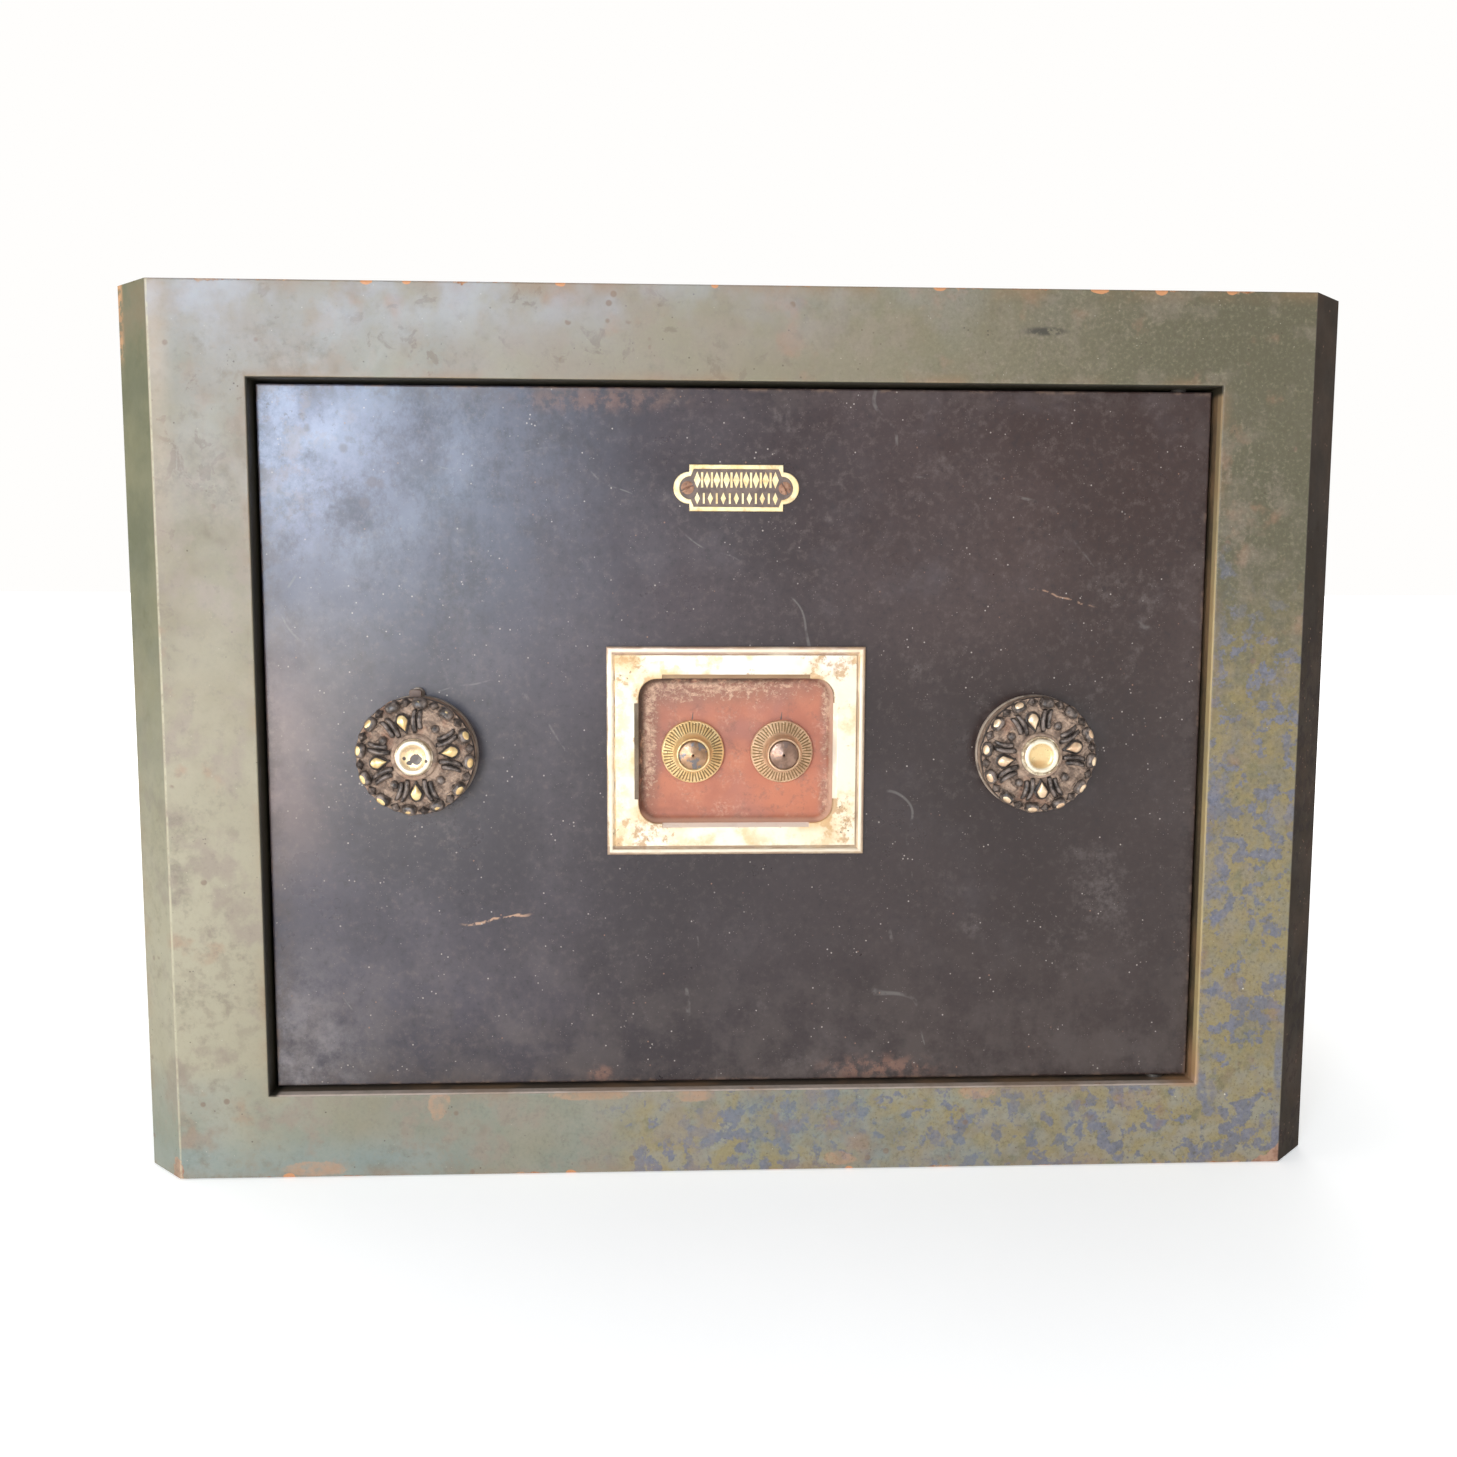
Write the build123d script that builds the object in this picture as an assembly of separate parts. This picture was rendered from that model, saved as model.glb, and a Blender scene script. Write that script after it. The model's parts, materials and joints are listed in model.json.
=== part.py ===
from build123d import *
import os
from math import acos, cos, pi, radians, sin, sqrt, tan

# Wall safe: a heavy bevelled front frame on a fire-resisting casing, with a pivoted door.
# The door carries two combination dials, a key lock under a swinging rosette, and a
# rosette knob that throws round bolts to both sides through a pinion and two racks.
#
# Millimetres. X runs to the right across the front, Y runs into the wall, Z is up.
# Shapes are drawn from the middle of the front face; save() moves the zero of every
# node to the middle of the underside.

# ---- whole safe ---------------------------------------------------------------------
WIDTH = 640.0
HEIGHT = 468.0
DEPTH = 330.0
HALF_W = WIDTH / 2
HALF_H = HEIGHT / 2
BEVEL = 22.0              # 45 degree bevel down each side of the frame
FRAME_T = 26.0
CASING_T = 4.0
BACK_T = 4.0
CASING_BACK = DEPTH - BACK_T

# ---- door opening and door ----------------------------------------------------------
OPEN_X = 250.0            # half width of the opening
OPEN_TOP = 185.5
OPEN_BOTTOM = -188.5
RECESS = 10.0             # door face behind the frame's face
GAP = 1.5                 # all round the door
DOOR_T = 12.0
DOOR_X = OPEN_X - GAP
DOOR_TOP = OPEN_TOP - GAP
DOOR_BOTTOM = OPEN_BOTTOM + GAP
DOOR_BACK = RECESS + DOOR_T

# ---- door pivots --------------------------------------------------------------------
PIVOT_INSET = 16.0        # from the door's right edge: its corners then swing clear
PIVOT_X = DOOR_X - PIVOT_INSET
PIVOT_Y = RECESS + DOOR_T / 2
PIVOT_R = 4.0
PIVOT_IN_DOOR = 20.0
PIVOT_IN_FRAME = 24.0
RUNNING = 0.05            # radial clearance of a turning or sliding fit

# ---- jambs, lining and shelf --------------------------------------------------------
JAMB_T = 8.0
JAMB_BACK = 80.0
LINING_T = 3.0
LINING_BACK = 280.0
STOP_DEEP = 5.0
SHELF_Z = 6.0
SHELF_T = 4.0
SHELF_FRONT = 96.0

# ---- door box behind the plate ------------------------------------------------------
PAN_INSET = 9.5
PAN_T = 4.0
PAN_X = DOOR_X - PAN_INSET
PAN_TOP = DOOR_TOP - 10.0
PAN_BOTTOM = DOOR_BOTTOM + 10.0
PAN_BACK = 66.0
COVER_T = 3.0

# ---- front furniture ----------------------------------------------------------------
ROW_Z = -6.5              # height of the dials, the knob and the keyhole
KNOB_X = 157.5
KEY_X = -169.0
DIAL_XS = {"left": -24.9, "right": 22.8}
ROSETTE_R = 31.0
ROSETTE_FACE = -7.5
RING_T = 3.0
ESC_X, ESC_Z = -2.0, -5.5
ESC_W, ESC_H, ESC_FRONT = 137.0, 111.0, 6.5
ESC_OPEN_W, ESC_OPEN_H, ESC_OPEN_R = 103.4, 77.2, 10.0
POCKET_W, POCKET_H, POCKET_R, POCKET_DEEP = 110.0, 82.0, 12.0, 8.7
PLATE_X, PLATE_Z = -2.3, 132.6
PLATE_W, PLATE_H, PLATE_T = 49.0, 24.0, 1.8
EAR_R = 8.3
EAR_SCREW_X = 25.9

# ---- boltwork -----------------------------------------------------------------------
BOLT_R = 10.0
BOLT_Y = 46.0
BOLT_ZS = [ROW_Z - 118.0, ROW_Z, ROW_Z + 118.0]
BAR_OUT, BAR_IN = 208.0, 196.0    # the upright bars, from the middle of the door
BAR_HALF = 140.0
ARM_FRONT, ARM_BACK = 42.0, 50.0
MODULE = 1.5
TEETH = 18
PRESSURE = radians(20)
PITCH_R = MODULE * TEETH / 2
TOOTH_PITCH = pi * MODULE
BACKLASH = 0.16           # taken off the thickness of every tooth
THROW = PITCH_R * pi / 2  # a quarter turn of the knob
ARM_EDGE = PITCH_R + 1.25 * MODULE    # root line of both racks, from the knob's axis
ARM_H = 18.0

# ---- combination dials --------------------------------------------------------------
DIAL_R = 16.8
WHEEL_R = 17.0
WHEEL_FLAT = 14.2
WHEEL_FRONT, WHEEL_BACK = 28.0, 34.0
FINGER_TOP = 14.7
FINGER_W = 4.0

# ---- key lock -----------------------------------------------------------------------
CASE_HALF = 25.0
CASE_LOW, CASE_HIGH = ROW_Z - 14.0, ROW_Z + 78.0
CASE_BACK = 53.0
CASE_T = 3.0
POST_Z = ROW_Z + 52.0
POST_R = 4.0
LOCK_TAIL = 5.5
NOTCH_W = 12.0
NOTCH_DEEP = 9.6
STUMP_Z = ROW_Z + 34.0
STUMP_HALF = 1.9
LOCK_THROW = 8.0

# ---- wall anchors -------------------------------------------------------------------
LUG_ZS = [-150.0, 150.0]
LUG_FRONT, LUG_BACK = 230.0, 290.0
LUG_OUT = 45.0
LUG_T = 5.0
LUG_HOLE_R = 5.0
LUG_HOLE_X = HALF_W + 28.0


# ---- helpers ------------------------------------------------------------------------
def block(x0, x1, y0, y1, z0, z1):
    return Pos((x0 + x1) / 2, (y0 + y1) / 2, (z0 + z1) / 2) * Box(x1 - x0, y1 - y0, z1 - z0)


def rod_x(x0, x1, y, z, r):
    return Pos((x0 + x1) / 2, y, z) * Rot(0, 90, 0) * Cylinder(r, x1 - x0)


def rod_y(x, z, y0, y1, r):
    return Pos(x, (y0 + y1) / 2, z) * Rot(90, 0, 0) * Cylinder(r, y1 - y0)


def rod_z(x, y, z0, z1, r):
    return Pos(x, y, (z0 + z1) / 2) * Cylinder(r, z1 - z0)


def front_plane(y):
    """A sketch plane facing the room: sketch x is X and sketch y is Z."""
    return Plane(origin=(0, y, 0), x_dir=(1, 0, 0), z_dir=(0, -1, 0))


def slab(sketch, y0, y1):
    """A sketch drawn in X and Z, made solid from y0 back to y1."""
    return extrude(front_plane(y1) * sketch, amount=y1 - y0)


def turned(x, z, profile):
    """A solid of revolution about a line along Y. profile holds (radius, y) points."""
    face = make_face(Polyline(*profile, close=True))
    return Pos(x, 0, z) * revolve(face, axis=Axis.Y)


def together(solids):
    """Separate solids that share one node."""
    total = solids[0]
    for solid in solids[1:]:
        total += solid
    return total


def mirrored(shape):
    return mirror(shape, about=Plane.YZ)


def save(name, shape):
    placed = Pos(0, -DEPTH / 2, HALF_H) * shape
    export_step(placed, f"parts/{name}.step")


# ---- frame and casing ---------------------------------------------------------------
ANGLE_LEG = 25.0
ANGLE_T = 4.0
RIVET_R = 3.0
RIVET_HEAD_R = 5.0
RIVET_HEAD_H = 2.0
RIVET_Y = FRAME_T + 14.0
SIDE_RIVET_ZS = [-180.0, -60.0, 60.0, 180.0]
TOP_RIVET_XS = [-240.0, -120.0, 0.0, 120.0, 240.0]


def pivot_bores(r, low, high):
    """Two upright rods on the pivot's axis, one at the bottom and one at the top."""
    lower = rod_z(PIVOT_X, PIVOT_Y, OPEN_BOTTOM - low, DOOR_BOTTOM + high, r)
    upper = rod_z(PIVOT_X, PIVOT_Y, DOOR_TOP - high, OPEN_TOP + low, r)
    return lower, upper


def front_frame():
    outline = Polyline(
        (-HALF_W, FRAME_T), (-HALF_W, BEVEL), (-HALF_W + BEVEL, 0),
        (HALF_W - BEVEL, 0), (HALF_W, BEVEL), (HALF_W, FRAME_T), close=True,
    )
    frame = Pos(0, 0, -HALF_H) * extrude(make_face(outline), amount=HEIGHT)
    long_edges = frame.edges().filter_by(Axis.X).group_by(Axis.Y)[0]
    frame = fillet(long_edges, 1.2)
    frame -= block(-OPEN_X, OPEN_X, -1, FRAME_T + 1, OPEN_BOTTOM, OPEN_TOP)
    mouth = [
        edge for edge in frame.edges()
        if abs(edge.center().Y) < 0.01 and abs(edge.center().X) < OPEN_X + 0.1
        and OPEN_BOTTOM - 0.1 < edge.center().Z < OPEN_TOP + 0.1
    ]
    frame = chamfer(mouth, 1.0)
    for bore in pivot_bores(PIVOT_R, PIVOT_IN_FRAME, 0):
        frame -= bore
    return frame


def rivet_holes(r):
    """Every rivet's shank, as rods that pass through the casing's walls."""
    rods = []
    for z in SIDE_RIVET_ZS:
        for side in (-1, 1):
            inner, outer = side * (HALF_W - 12), side * HALF_W
            rods.append(rod_x(min(inner, outer), max(inner, outer), RIVET_Y, z, r))
    for x in TOP_RIVET_XS:
        rods.append(rod_z(x, RIVET_Y, HALF_H - 12, HALF_H, r))
    for x, y, z in lug_rivet_places():
        inner = x - 16 if x > 0 else x + 16
        rods.append(rod_x(min(inner, x), max(inner, x), y, z, r))
    return rods


def lug_rivet_places():
    return [
        (side * (HALF_W + LUG_T), y, z)
        for side in (-1, 1) for z in LUG_ZS for y in (LUG_FRONT + 12, LUG_FRONT + 36)
    ]


def outer_casing():
    shell = block(-HALF_W, HALF_W, FRAME_T, CASING_BACK, -HALF_H, HALF_H)
    shell = fillet(shell.edges().filter_by(Axis.Y), 4)
    inner_x, inner_z = HALF_W - CASING_T, HALF_H - CASING_T
    shell -= block(-inner_x, inner_x, 0, CASING_BACK - CASING_T, -inner_z, inner_z)
    shell -= block(-inner_x + 20, inner_x - 20, 0, DEPTH, -inner_z + 20, inner_z - 20)
    for rod in rivet_holes(RIVET_R):
        shell -= rod
    for rod in back_screw_rods(2.5):
        shell -= rod
    return shell


def frame_angles():
    """Four angle bars that join the frame to the casing."""
    inner_x, inner_z = HALF_W - CASING_T, HALF_H - CASING_T
    y0, y1 = FRAME_T, FRAME_T + ANGLE_LEG
    bars = []
    for side in (-1, 1):
        leg = block(inner_x - ANGLE_T, inner_x, y0, y1, -inner_z, inner_z)
        leg += block(inner_x - ANGLE_LEG, inner_x, y0, y0 + ANGLE_T, -inner_z, inner_z)
        bars.append(leg if side > 0 else mirrored(leg))
    end = inner_x - ANGLE_LEG
    for side in (-1, 1):
        wall = sorted((side * inner_z, side * (inner_z - ANGLE_T)))
        foot = sorted((side * inner_z, side * (inner_z - ANGLE_LEG)))
        bar = block(-end, end, y0, y1, *wall) + block(-end, end, y0, y0 + ANGLE_T, *foot)
        bars.append(bar)
    angles = together(bars)
    for rod in rivet_holes(RIVET_R):
        angles -= rod
    return angles


def dome(height, r):
    """A low round head standing on z = 0."""
    ball = (r * r + height * height) / (2 * height)
    cap = Pos(0, 0, height - ball) * Sphere(ball)
    return cap & Pos(0, 0, height / 2) * Box(3 * r, 3 * r, height)


def casing_rivets():
    heads = []
    for z in SIDE_RIVET_ZS:
        for side in (-1, 1):
            heads.append(Pos(side * HALF_W, RIVET_Y, z) * Rot(0, side * 90, 0)
                         * dome(RIVET_HEAD_H, RIVET_HEAD_R))
    for x in TOP_RIVET_XS:
        heads.append(Pos(x, RIVET_Y, HALF_H) * dome(RIVET_HEAD_H, RIVET_HEAD_R))
    for x, y, z in lug_rivet_places():
        turn = 90 if x > 0 else -90
        heads.append(Pos(x, y, z) * Rot(0, turn, 0) * dome(RIVET_HEAD_H, RIVET_HEAD_R))
    return together([head + rod for head, rod in zip(heads, rivet_holes(RIVET_R))])


def lining_space():
    """The jambs and the lining as one solid block, which the filling goes round."""
    jamb = OPEN_X + JAMB_T
    space = block(-jamb, jamb, FRAME_T, JAMB_BACK, OPEN_BOTTOM - JAMB_T, OPEN_TOP + JAMB_T)
    wall = OPEN_X + LINING_T
    space += block(-wall, wall, JAMB_BACK, LINING_BACK,
                   OPEN_BOTTOM - LINING_T, OPEN_TOP + LINING_T)
    return space


def fireproof_fill():
    inner_x, inner_z = HALF_W - CASING_T, HALF_H - CASING_T
    fill = block(-inner_x, inner_x, FRAME_T, CASING_BACK - CASING_T, -inner_z, inner_z)
    fill -= lining_space()
    fill -= frame_angles()
    for z in BOLT_ZS:
        pocket = OPEN_X + JAMB_T + 12
        fill -= rod_x(-pocket, pocket, BOLT_Y, z, BOLT_R + 2)
    for rod in rivet_holes(RIVET_R):
        fill -= rod
    for rod in back_screw_rods(2.5):
        fill -= rod
    return fill


def strike_bar():
    bar = block(OPEN_X, OPEN_X + JAMB_T, FRAME_T, JAMB_BACK, OPEN_BOTTOM, OPEN_TOP)
    for z in BOLT_ZS:
        bar -= rod_x(OPEN_X - 1, OPEN_X + JAMB_T + 1, BOLT_Y, z, BOLT_R + 0.6)
    return bar


def jamb_rails():
    reach = OPEN_X + JAMB_T
    top = block(-reach, reach, FRAME_T, JAMB_BACK, OPEN_TOP, OPEN_TOP + JAMB_T)
    sill = block(-reach, reach, FRAME_T, JAMB_BACK, OPEN_BOTTOM - JAMB_T, OPEN_BOTTOM)
    return top + sill


def door_stop_strip():
    y0, y1 = DOOR_BACK + 0.3, DOOR_BACK + 8.3
    right_end = PIVOT_X - 12
    left = block(-OPEN_X, -OPEN_X + STOP_DEEP, y0, y1, OPEN_BOTTOM, OPEN_TOP)
    start = -OPEN_X + STOP_DEEP
    top = block(start, right_end, y0, y1, OPEN_TOP - STOP_DEEP, OPEN_TOP)
    sill = block(start, right_end, y0, y1, OPEN_BOTTOM, OPEN_BOTTOM + STOP_DEEP)
    return together([left, top, sill])


def inner_lining():
    wall = OPEN_X + LINING_T
    box = block(-wall, wall, JAMB_BACK, LINING_BACK,
                OPEN_BOTTOM - LINING_T, OPEN_TOP + LINING_T)
    return box - block(-OPEN_X, OPEN_X, 0, LINING_BACK - LINING_T, OPEN_BOTTOM, OPEN_TOP)


def shelf():
    back = LINING_BACK - LINING_T - 1
    board = block(-OPEN_X + 1, OPEN_X - 1, SHELF_FRONT, back, SHELF_Z, SHELF_Z + SHELF_T)
    board += block(-OPEN_X + 1, OPEN_X - 1, SHELF_FRONT, SHELF_FRONT + 3,
                   SHELF_Z - 10, SHELF_Z)
    return fillet(board.edges().filter_by(Axis.X).group_by(Axis.Y)[0], 0.8)


def shelf_rails():
    back = LINING_BACK - LINING_T
    front = SHELF_FRONT + 6
    rail = block(OPEN_X - 3, OPEN_X, front, back, SHELF_Z - 20, SHELF_Z)
    rail += block(OPEN_X - 18, OPEN_X, front, back, SHELF_Z - 3, SHELF_Z)
    return rail + mirrored(rail)


BACK_SCREW_PLACES = [
    (x, z)
    for x in (-304.0, -152.0, 0.0, 152.0, 304.0) for z in (-222.0, 222.0)
] + [(x, z) for x in (-304.0, 304.0) for z in (-74.0, 74.0)]


def back_screw_rods(r):
    return [rod_y(x, z, CASING_BACK - 14, CASING_BACK, r) for x, z in BACK_SCREW_PLACES]


def sunk_screw(x, z, y_head, shank, head_r, shank_r, room_side):
    """A slotted countersunk screw. room_side is -1 when its head faces the room."""
    head_h = head_r - shank_r
    cone = [(0, 0), (head_r, 0), (shank_r, -head_h), (shank_r, -shank), (0, -shank)]
    points = [(r, y_head + (y if room_side > 0 else -y)) for r, y in cone]
    screw = turned(x, z, points)
    inside = (y_head - 1, y_head) if room_side > 0 else (y_head, y_head + 1)
    return screw - block(x - 2 * head_r, x + 2 * head_r, *inside,
                         z - 0.6, z + 0.6)


def sunk_hole(x, z, y_head, shank, head_r, shank_r, room_side):
    head_h = head_r - shank_r
    cone = [(0, 0), (head_r, 0), (shank_r, -head_h), (shank_r, -shank), (0, -shank)]
    return turned(x, z, [(r, y_head + (y if room_side > 0 else -y)) for r, y in cone])


BACK_SCREW = (DEPTH, BACK_T + 14, 5.0, 2.5, 1)


def back_plate():
    plate = block(-HALF_W, HALF_W, CASING_BACK, DEPTH, -HALF_H, HALF_H)
    plate = fillet(plate.edges().filter_by(Axis.Y), 4)
    for x, z in BACK_SCREW_PLACES:
        plate -= sunk_hole(x, z, *BACK_SCREW)
    return plate


def back_plate_screws():
    return together([sunk_screw(x, z, *BACK_SCREW) for x, z in BACK_SCREW_PLACES])


def anchor_lugs():
    lugs = []
    for z in LUG_ZS:
        low, high = z - 18, z + 18
        lug = block(HALF_W, HALF_W + LUG_T, LUG_FRONT, LUG_BACK, low, high)
        lug += block(HALF_W, HALF_W + LUG_OUT, LUG_BACK - LUG_T, LUG_BACK, low, high)
        corners = lug.edges().filter_by(Axis.Y).group_by(Axis.X)[-1]
        lug = fillet(corners, 10)
        lug -= rod_y(LUG_HOLE_X, z, LUG_BACK - LUG_T - 1, LUG_BACK + 1, LUG_HOLE_R)
        lugs += [lug, mirrored(lug)]
    group = together(lugs)
    for rod in rivet_holes(RIVET_R):
        group -= rod
    return group


# ---- door ---------------------------------------------------------------------------
def pivot_pins():
    return together([fillet(pin.edges(), 0.6)
                     for pin in pivot_bores(PIVOT_R, PIVOT_IN_FRAME, PIVOT_IN_DOOR - 1)])


def pivot_washer():
    ring = rod_z(PIVOT_X, PIVOT_Y, OPEN_BOTTOM, DOOR_BOTTOM - 0.1, 5.8)
    return ring - rod_z(PIVOT_X, PIVOT_Y, OPEN_BOTTOM - 1, DOOR_BOTTOM + 1, PIVOT_R)


def keyhole(y0, y1):
    """The outline of a keyhole as a solid cutter."""
    cut = rod_y(KEY_X, ROW_Z, y0, y1, 3.6)
    return cut + block(KEY_X - 1.5, KEY_X + 1.5, y0, y1, ROW_Z - 13, ROW_Z)


def nameplate_screw(cutter=False):
    make = sunk_hole if cutter else sunk_screw
    y_head = RECESS - PLATE_T
    return [make(PLATE_X + side * EAR_SCREW_X, PLATE_Z, y_head, 8.0, 3.0, 1.5, -1)
            for side in (-1, 1)]


def cover_pivot_z():
    return ROW_Z + ROSETTE_R + 0.6


def door_plate():
    plate = block(-DOOR_X, DOOR_X, RECESS, DOOR_BACK, DOOR_BOTTOM, DOOR_TOP)
    front_edges = plate.faces().sort_by(Axis.Y)[0].edges()
    plate = fillet(front_edges, 1.2)
    pocket = RectangleRounded(POCKET_W, POCKET_H, POCKET_R)
    plate -= slab(Pos(ESC_X, ESC_Z) * pocket, RECESS, RECESS + POCKET_DEEP)
    for x in DIAL_XS.values():
        plate -= rod_y(x, ROW_Z, RECESS, DOOR_BACK + 1, 4.5)
    plate -= rod_y(KNOB_X, ROW_Z, RECESS - 1, DOOR_BACK + 1, 5.5)
    plate -= keyhole(RECESS - 1, DOOR_BACK + 1)
    plate -= rod_y(KEY_X, cover_pivot_z(), RECESS - 1, RECESS + 6, 1.5)
    for hole in nameplate_screw(cutter=True):
        plate -= hole
    for bore in pivot_bores(PIVOT_R + RUNNING, 0, PIVOT_IN_DOOR):
        plate -= bore
    return plate


COVER_SCREW_PLACES = [
    (x, z)
    for x in (-PAN_X + PAN_T + 7, -80.0, 80.0, PAN_X - PAN_T - 7)
    for z in (PAN_BOTTOM + PAN_T + 7, PAN_TOP - PAN_T - 7)
]
COVER_SCREW = (PAN_BACK + COVER_T, 14.0, 4.0, 2.0, 1)


def door_pan():
    """The box behind the door plate: four walls with screw blocks along them."""
    pan = block(-PAN_X, PAN_X, DOOR_BACK, PAN_BACK, PAN_BOTTOM, PAN_TOP)
    pan -= block(-PAN_X + PAN_T, PAN_X - PAN_T, 0, 90, PAN_BOTTOM + PAN_T, PAN_TOP - PAN_T)
    for x, z in COVER_SCREW_PLACES:
        pan += block(x - 7, x + 7, DOOR_BACK, PAN_BACK, z - 7, z + 7)
    for z in BOLT_ZS:
        pan -= rod_x(-PAN_X - 1, PAN_X + 1, BOLT_Y, z, GUIDE_R)
    for x, z in COVER_SCREW_PLACES:
        pan -= sunk_hole(x, z, *COVER_SCREW)
    return pan


def back_cover():
    cover = block(-PAN_X, PAN_X, PAN_BACK, PAN_BACK + COVER_T, PAN_BOTTOM, PAN_TOP)
    cover = fillet(cover.faces().sort_by(Axis.Y)[-1].edges(), 0.8)
    for x, z in COVER_SCREW_PLACES:
        cover -= sunk_hole(x, z, *COVER_SCREW)
    return cover


def cover_screws():
    return together([sunk_screw(x, z, *COVER_SCREW) for x, z in COVER_SCREW_PLACES])


GUIDE_R = 13.0


def bolt_guides():
    """A bush in the wall of the door box for each bolt."""
    guides = []
    for z in BOLT_ZS:
        bush = rod_x(PAN_X - PAN_T, PAN_X, BOLT_Y, z, GUIDE_R)
        bush += rod_x(PAN_X - PAN_T - 3, PAN_X - PAN_T, BOLT_Y, z, GUIDE_R + 2)
        bush -= rod_x(PAN_X - 20, PAN_X + 1, BOLT_Y, z, BOLT_R + RUNNING)
        guides += [bush, mirrored(bush)]
    return together(guides)


def escutcheon_frame():
    """The bright frame round the dials: raised border, stopped chamfers inside."""
    centre = Pos(ESC_X, ESC_Z)
    border = 4.0
    body = slab(centre * Rectangle(ESC_W, ESC_H), ESC_FRONT, RECESS)
    sunk = slab(centre * Rectangle(ESC_W - 2 * border, ESC_H - 2 * border),
                ESC_FRONT, ESC_FRONT + 0.7)
    body = fillet(body.faces().sort_by(Axis.Y)[0].edges(), 1.2) - sunk
    body -= slab(centre * RectangleRounded(ESC_OPEN_W, ESC_OPEN_H, ESC_OPEN_R), 0, RECESS)
    cut = 2.3 * sqrt(2)
    y = ESC_FRONT + 0.7
    for side in (-1, 1):
        level = Pos(ESC_X, y, ESC_Z + side * ESC_OPEN_H / 2)
        body -= level * Rot(45, 0, 0) * Box(ESC_OPEN_W - 25, cut, cut)
        upright = Pos(ESC_X + side * ESC_OPEN_W / 2, y, ESC_Z)
        body -= upright * Rot(0, 0, 45) * Box(cut, cut, ESC_OPEN_H - 26)
    return body


def dial_pan():
    centre = Pos(ESC_X, ESC_Z)
    wall = slab(centre * RectangleRounded(POCKET_W - 0.2, POCKET_H - 0.2, POCKET_R - 0.1),
                RECESS, RECESS + POCKET_DEEP)
    mouth = front_plane(RECESS) * centre * RectangleRounded(ESC_OPEN_W, ESC_OPEN_H, ESC_OPEN_R)
    floor = front_plane(DIAL_FLOOR) * centre * RectangleRounded(
        ESC_OPEN_W - 6.4, ESC_OPEN_H - 6.4, ESC_OPEN_R - 2)
    wall -= loft([mouth, floor])
    for x in DIAL_XS.values():
        wall -= rod_y(x, ROW_Z, RECESS, DOOR_BACK, 4.5)
    return wall


DIAL_FLOOR = RECESS + POCKET_DEEP - 2


def nameplate():
    outline = Rectangle(PLATE_W, PLATE_H)
    field = Rectangle(PLATE_W - 5, PLATE_H - 5)
    for side in (-1, 1):
        outline += Pos(side * PLATE_W / 2, 0) * Circle(EAR_R)
    centre = Pos(PLATE_X, PLATE_Z)
    plate = slab(centre * outline, RECESS - PLATE_T, RECESS)
    plate -= slab(centre * field, RECESS - PLATE_T, RECESS - PLATE_T + 0.5)
    for hole in nameplate_screw(cutter=True):
        plate -= hole
    return plate


def nameplate_screws():
    return together(nameplate_screw())


def base_ring(x, inner_r):
    y = RECESS - RING_T
    return turned(x, ROW_Z, [
        (inner_r, RECESS), (ROSETTE_R, RECESS), (ROSETTE_R, y + 0.8),
        (ROSETTE_R - 0.8, y), (inner_r, y),
    ])


def keyhole_ring():
    ring = base_ring(KEY_X, 21.0)
    ring += rod_y(KEY_X, cover_pivot_z(), RECESS - RING_T, RECESS, 3.4)
    return ring - rod_y(KEY_X, cover_pivot_z(), 0, RECESS + 1, 1.5)


def keyhole_plate():
    disc = rod_y(KEY_X, ROW_Z, RECESS - 1.6, RECESS, 20.9)
    return disc - keyhole(0, RECESS + 1)


def cover_pivot_pin():
    return turned(KEY_X, cover_pivot_z(), [
        (0, LUG_FACE), (1.5, LUG_FACE), (1.5, RECESS + 6), (0, RECESS + 6),
    ])


LUG_FACE = 4.2


def spindle_bushes():
    bushes = []
    for x in DIAL_XS.values():
        bushes.append(rod_y(x, ROW_Z, DOOR_BACK, WHEEL_FRONT - 0.5, 8)
                      - rod_y(x, ROW_Z, 0, 60, 4 + RUNNING))
    front = rod_y(KNOB_X, ROW_Z, DOOR_BACK, DOOR_BACK + 8, 10)
    rear = rod_y(KNOB_X, ROW_Z, PAN_BACK - 8, PAN_BACK, 10)
    for bush in (front, rear):
        bushes.append(bush - rod_y(KNOB_X, ROW_Z, 0, 90, 5 + RUNNING))
    return together(bushes)


def arm_guides():
    """Brackets on the door plate that hold the racks to the pinion."""
    guides = []
    edge = ARM_EDGE + ARM_H + 0.12
    for x in (-110.0, 100.0):
        post = block(x - 8, x + 8, DOOR_BACK, ARM_BACK + 6, ROW_Z - edge - 10, ROW_Z - edge)
        lip = block(x - 8, x + 8, ARM_BACK + 0.4, ARM_BACK + 6, ROW_Z - edge, ROW_Z - edge + 9)
        guides.append(post + lip)
    x = KNOB_X + 22
    post = block(x - 8, x + 8, DOOR_BACK, ARM_BACK + 6, ROW_Z + edge, ROW_Z + edge + 10)
    lip = block(x - 8, x + 8, ARM_BACK + 0.4, ARM_BACK + 6, ROW_Z + edge - 9, ROW_Z + edge)
    guides.append(post + lip)
    return together(guides)


# ---- boltwork -----------------------------------------------------------------------
def involute(angle):
    return tan(angle) - angle


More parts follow.
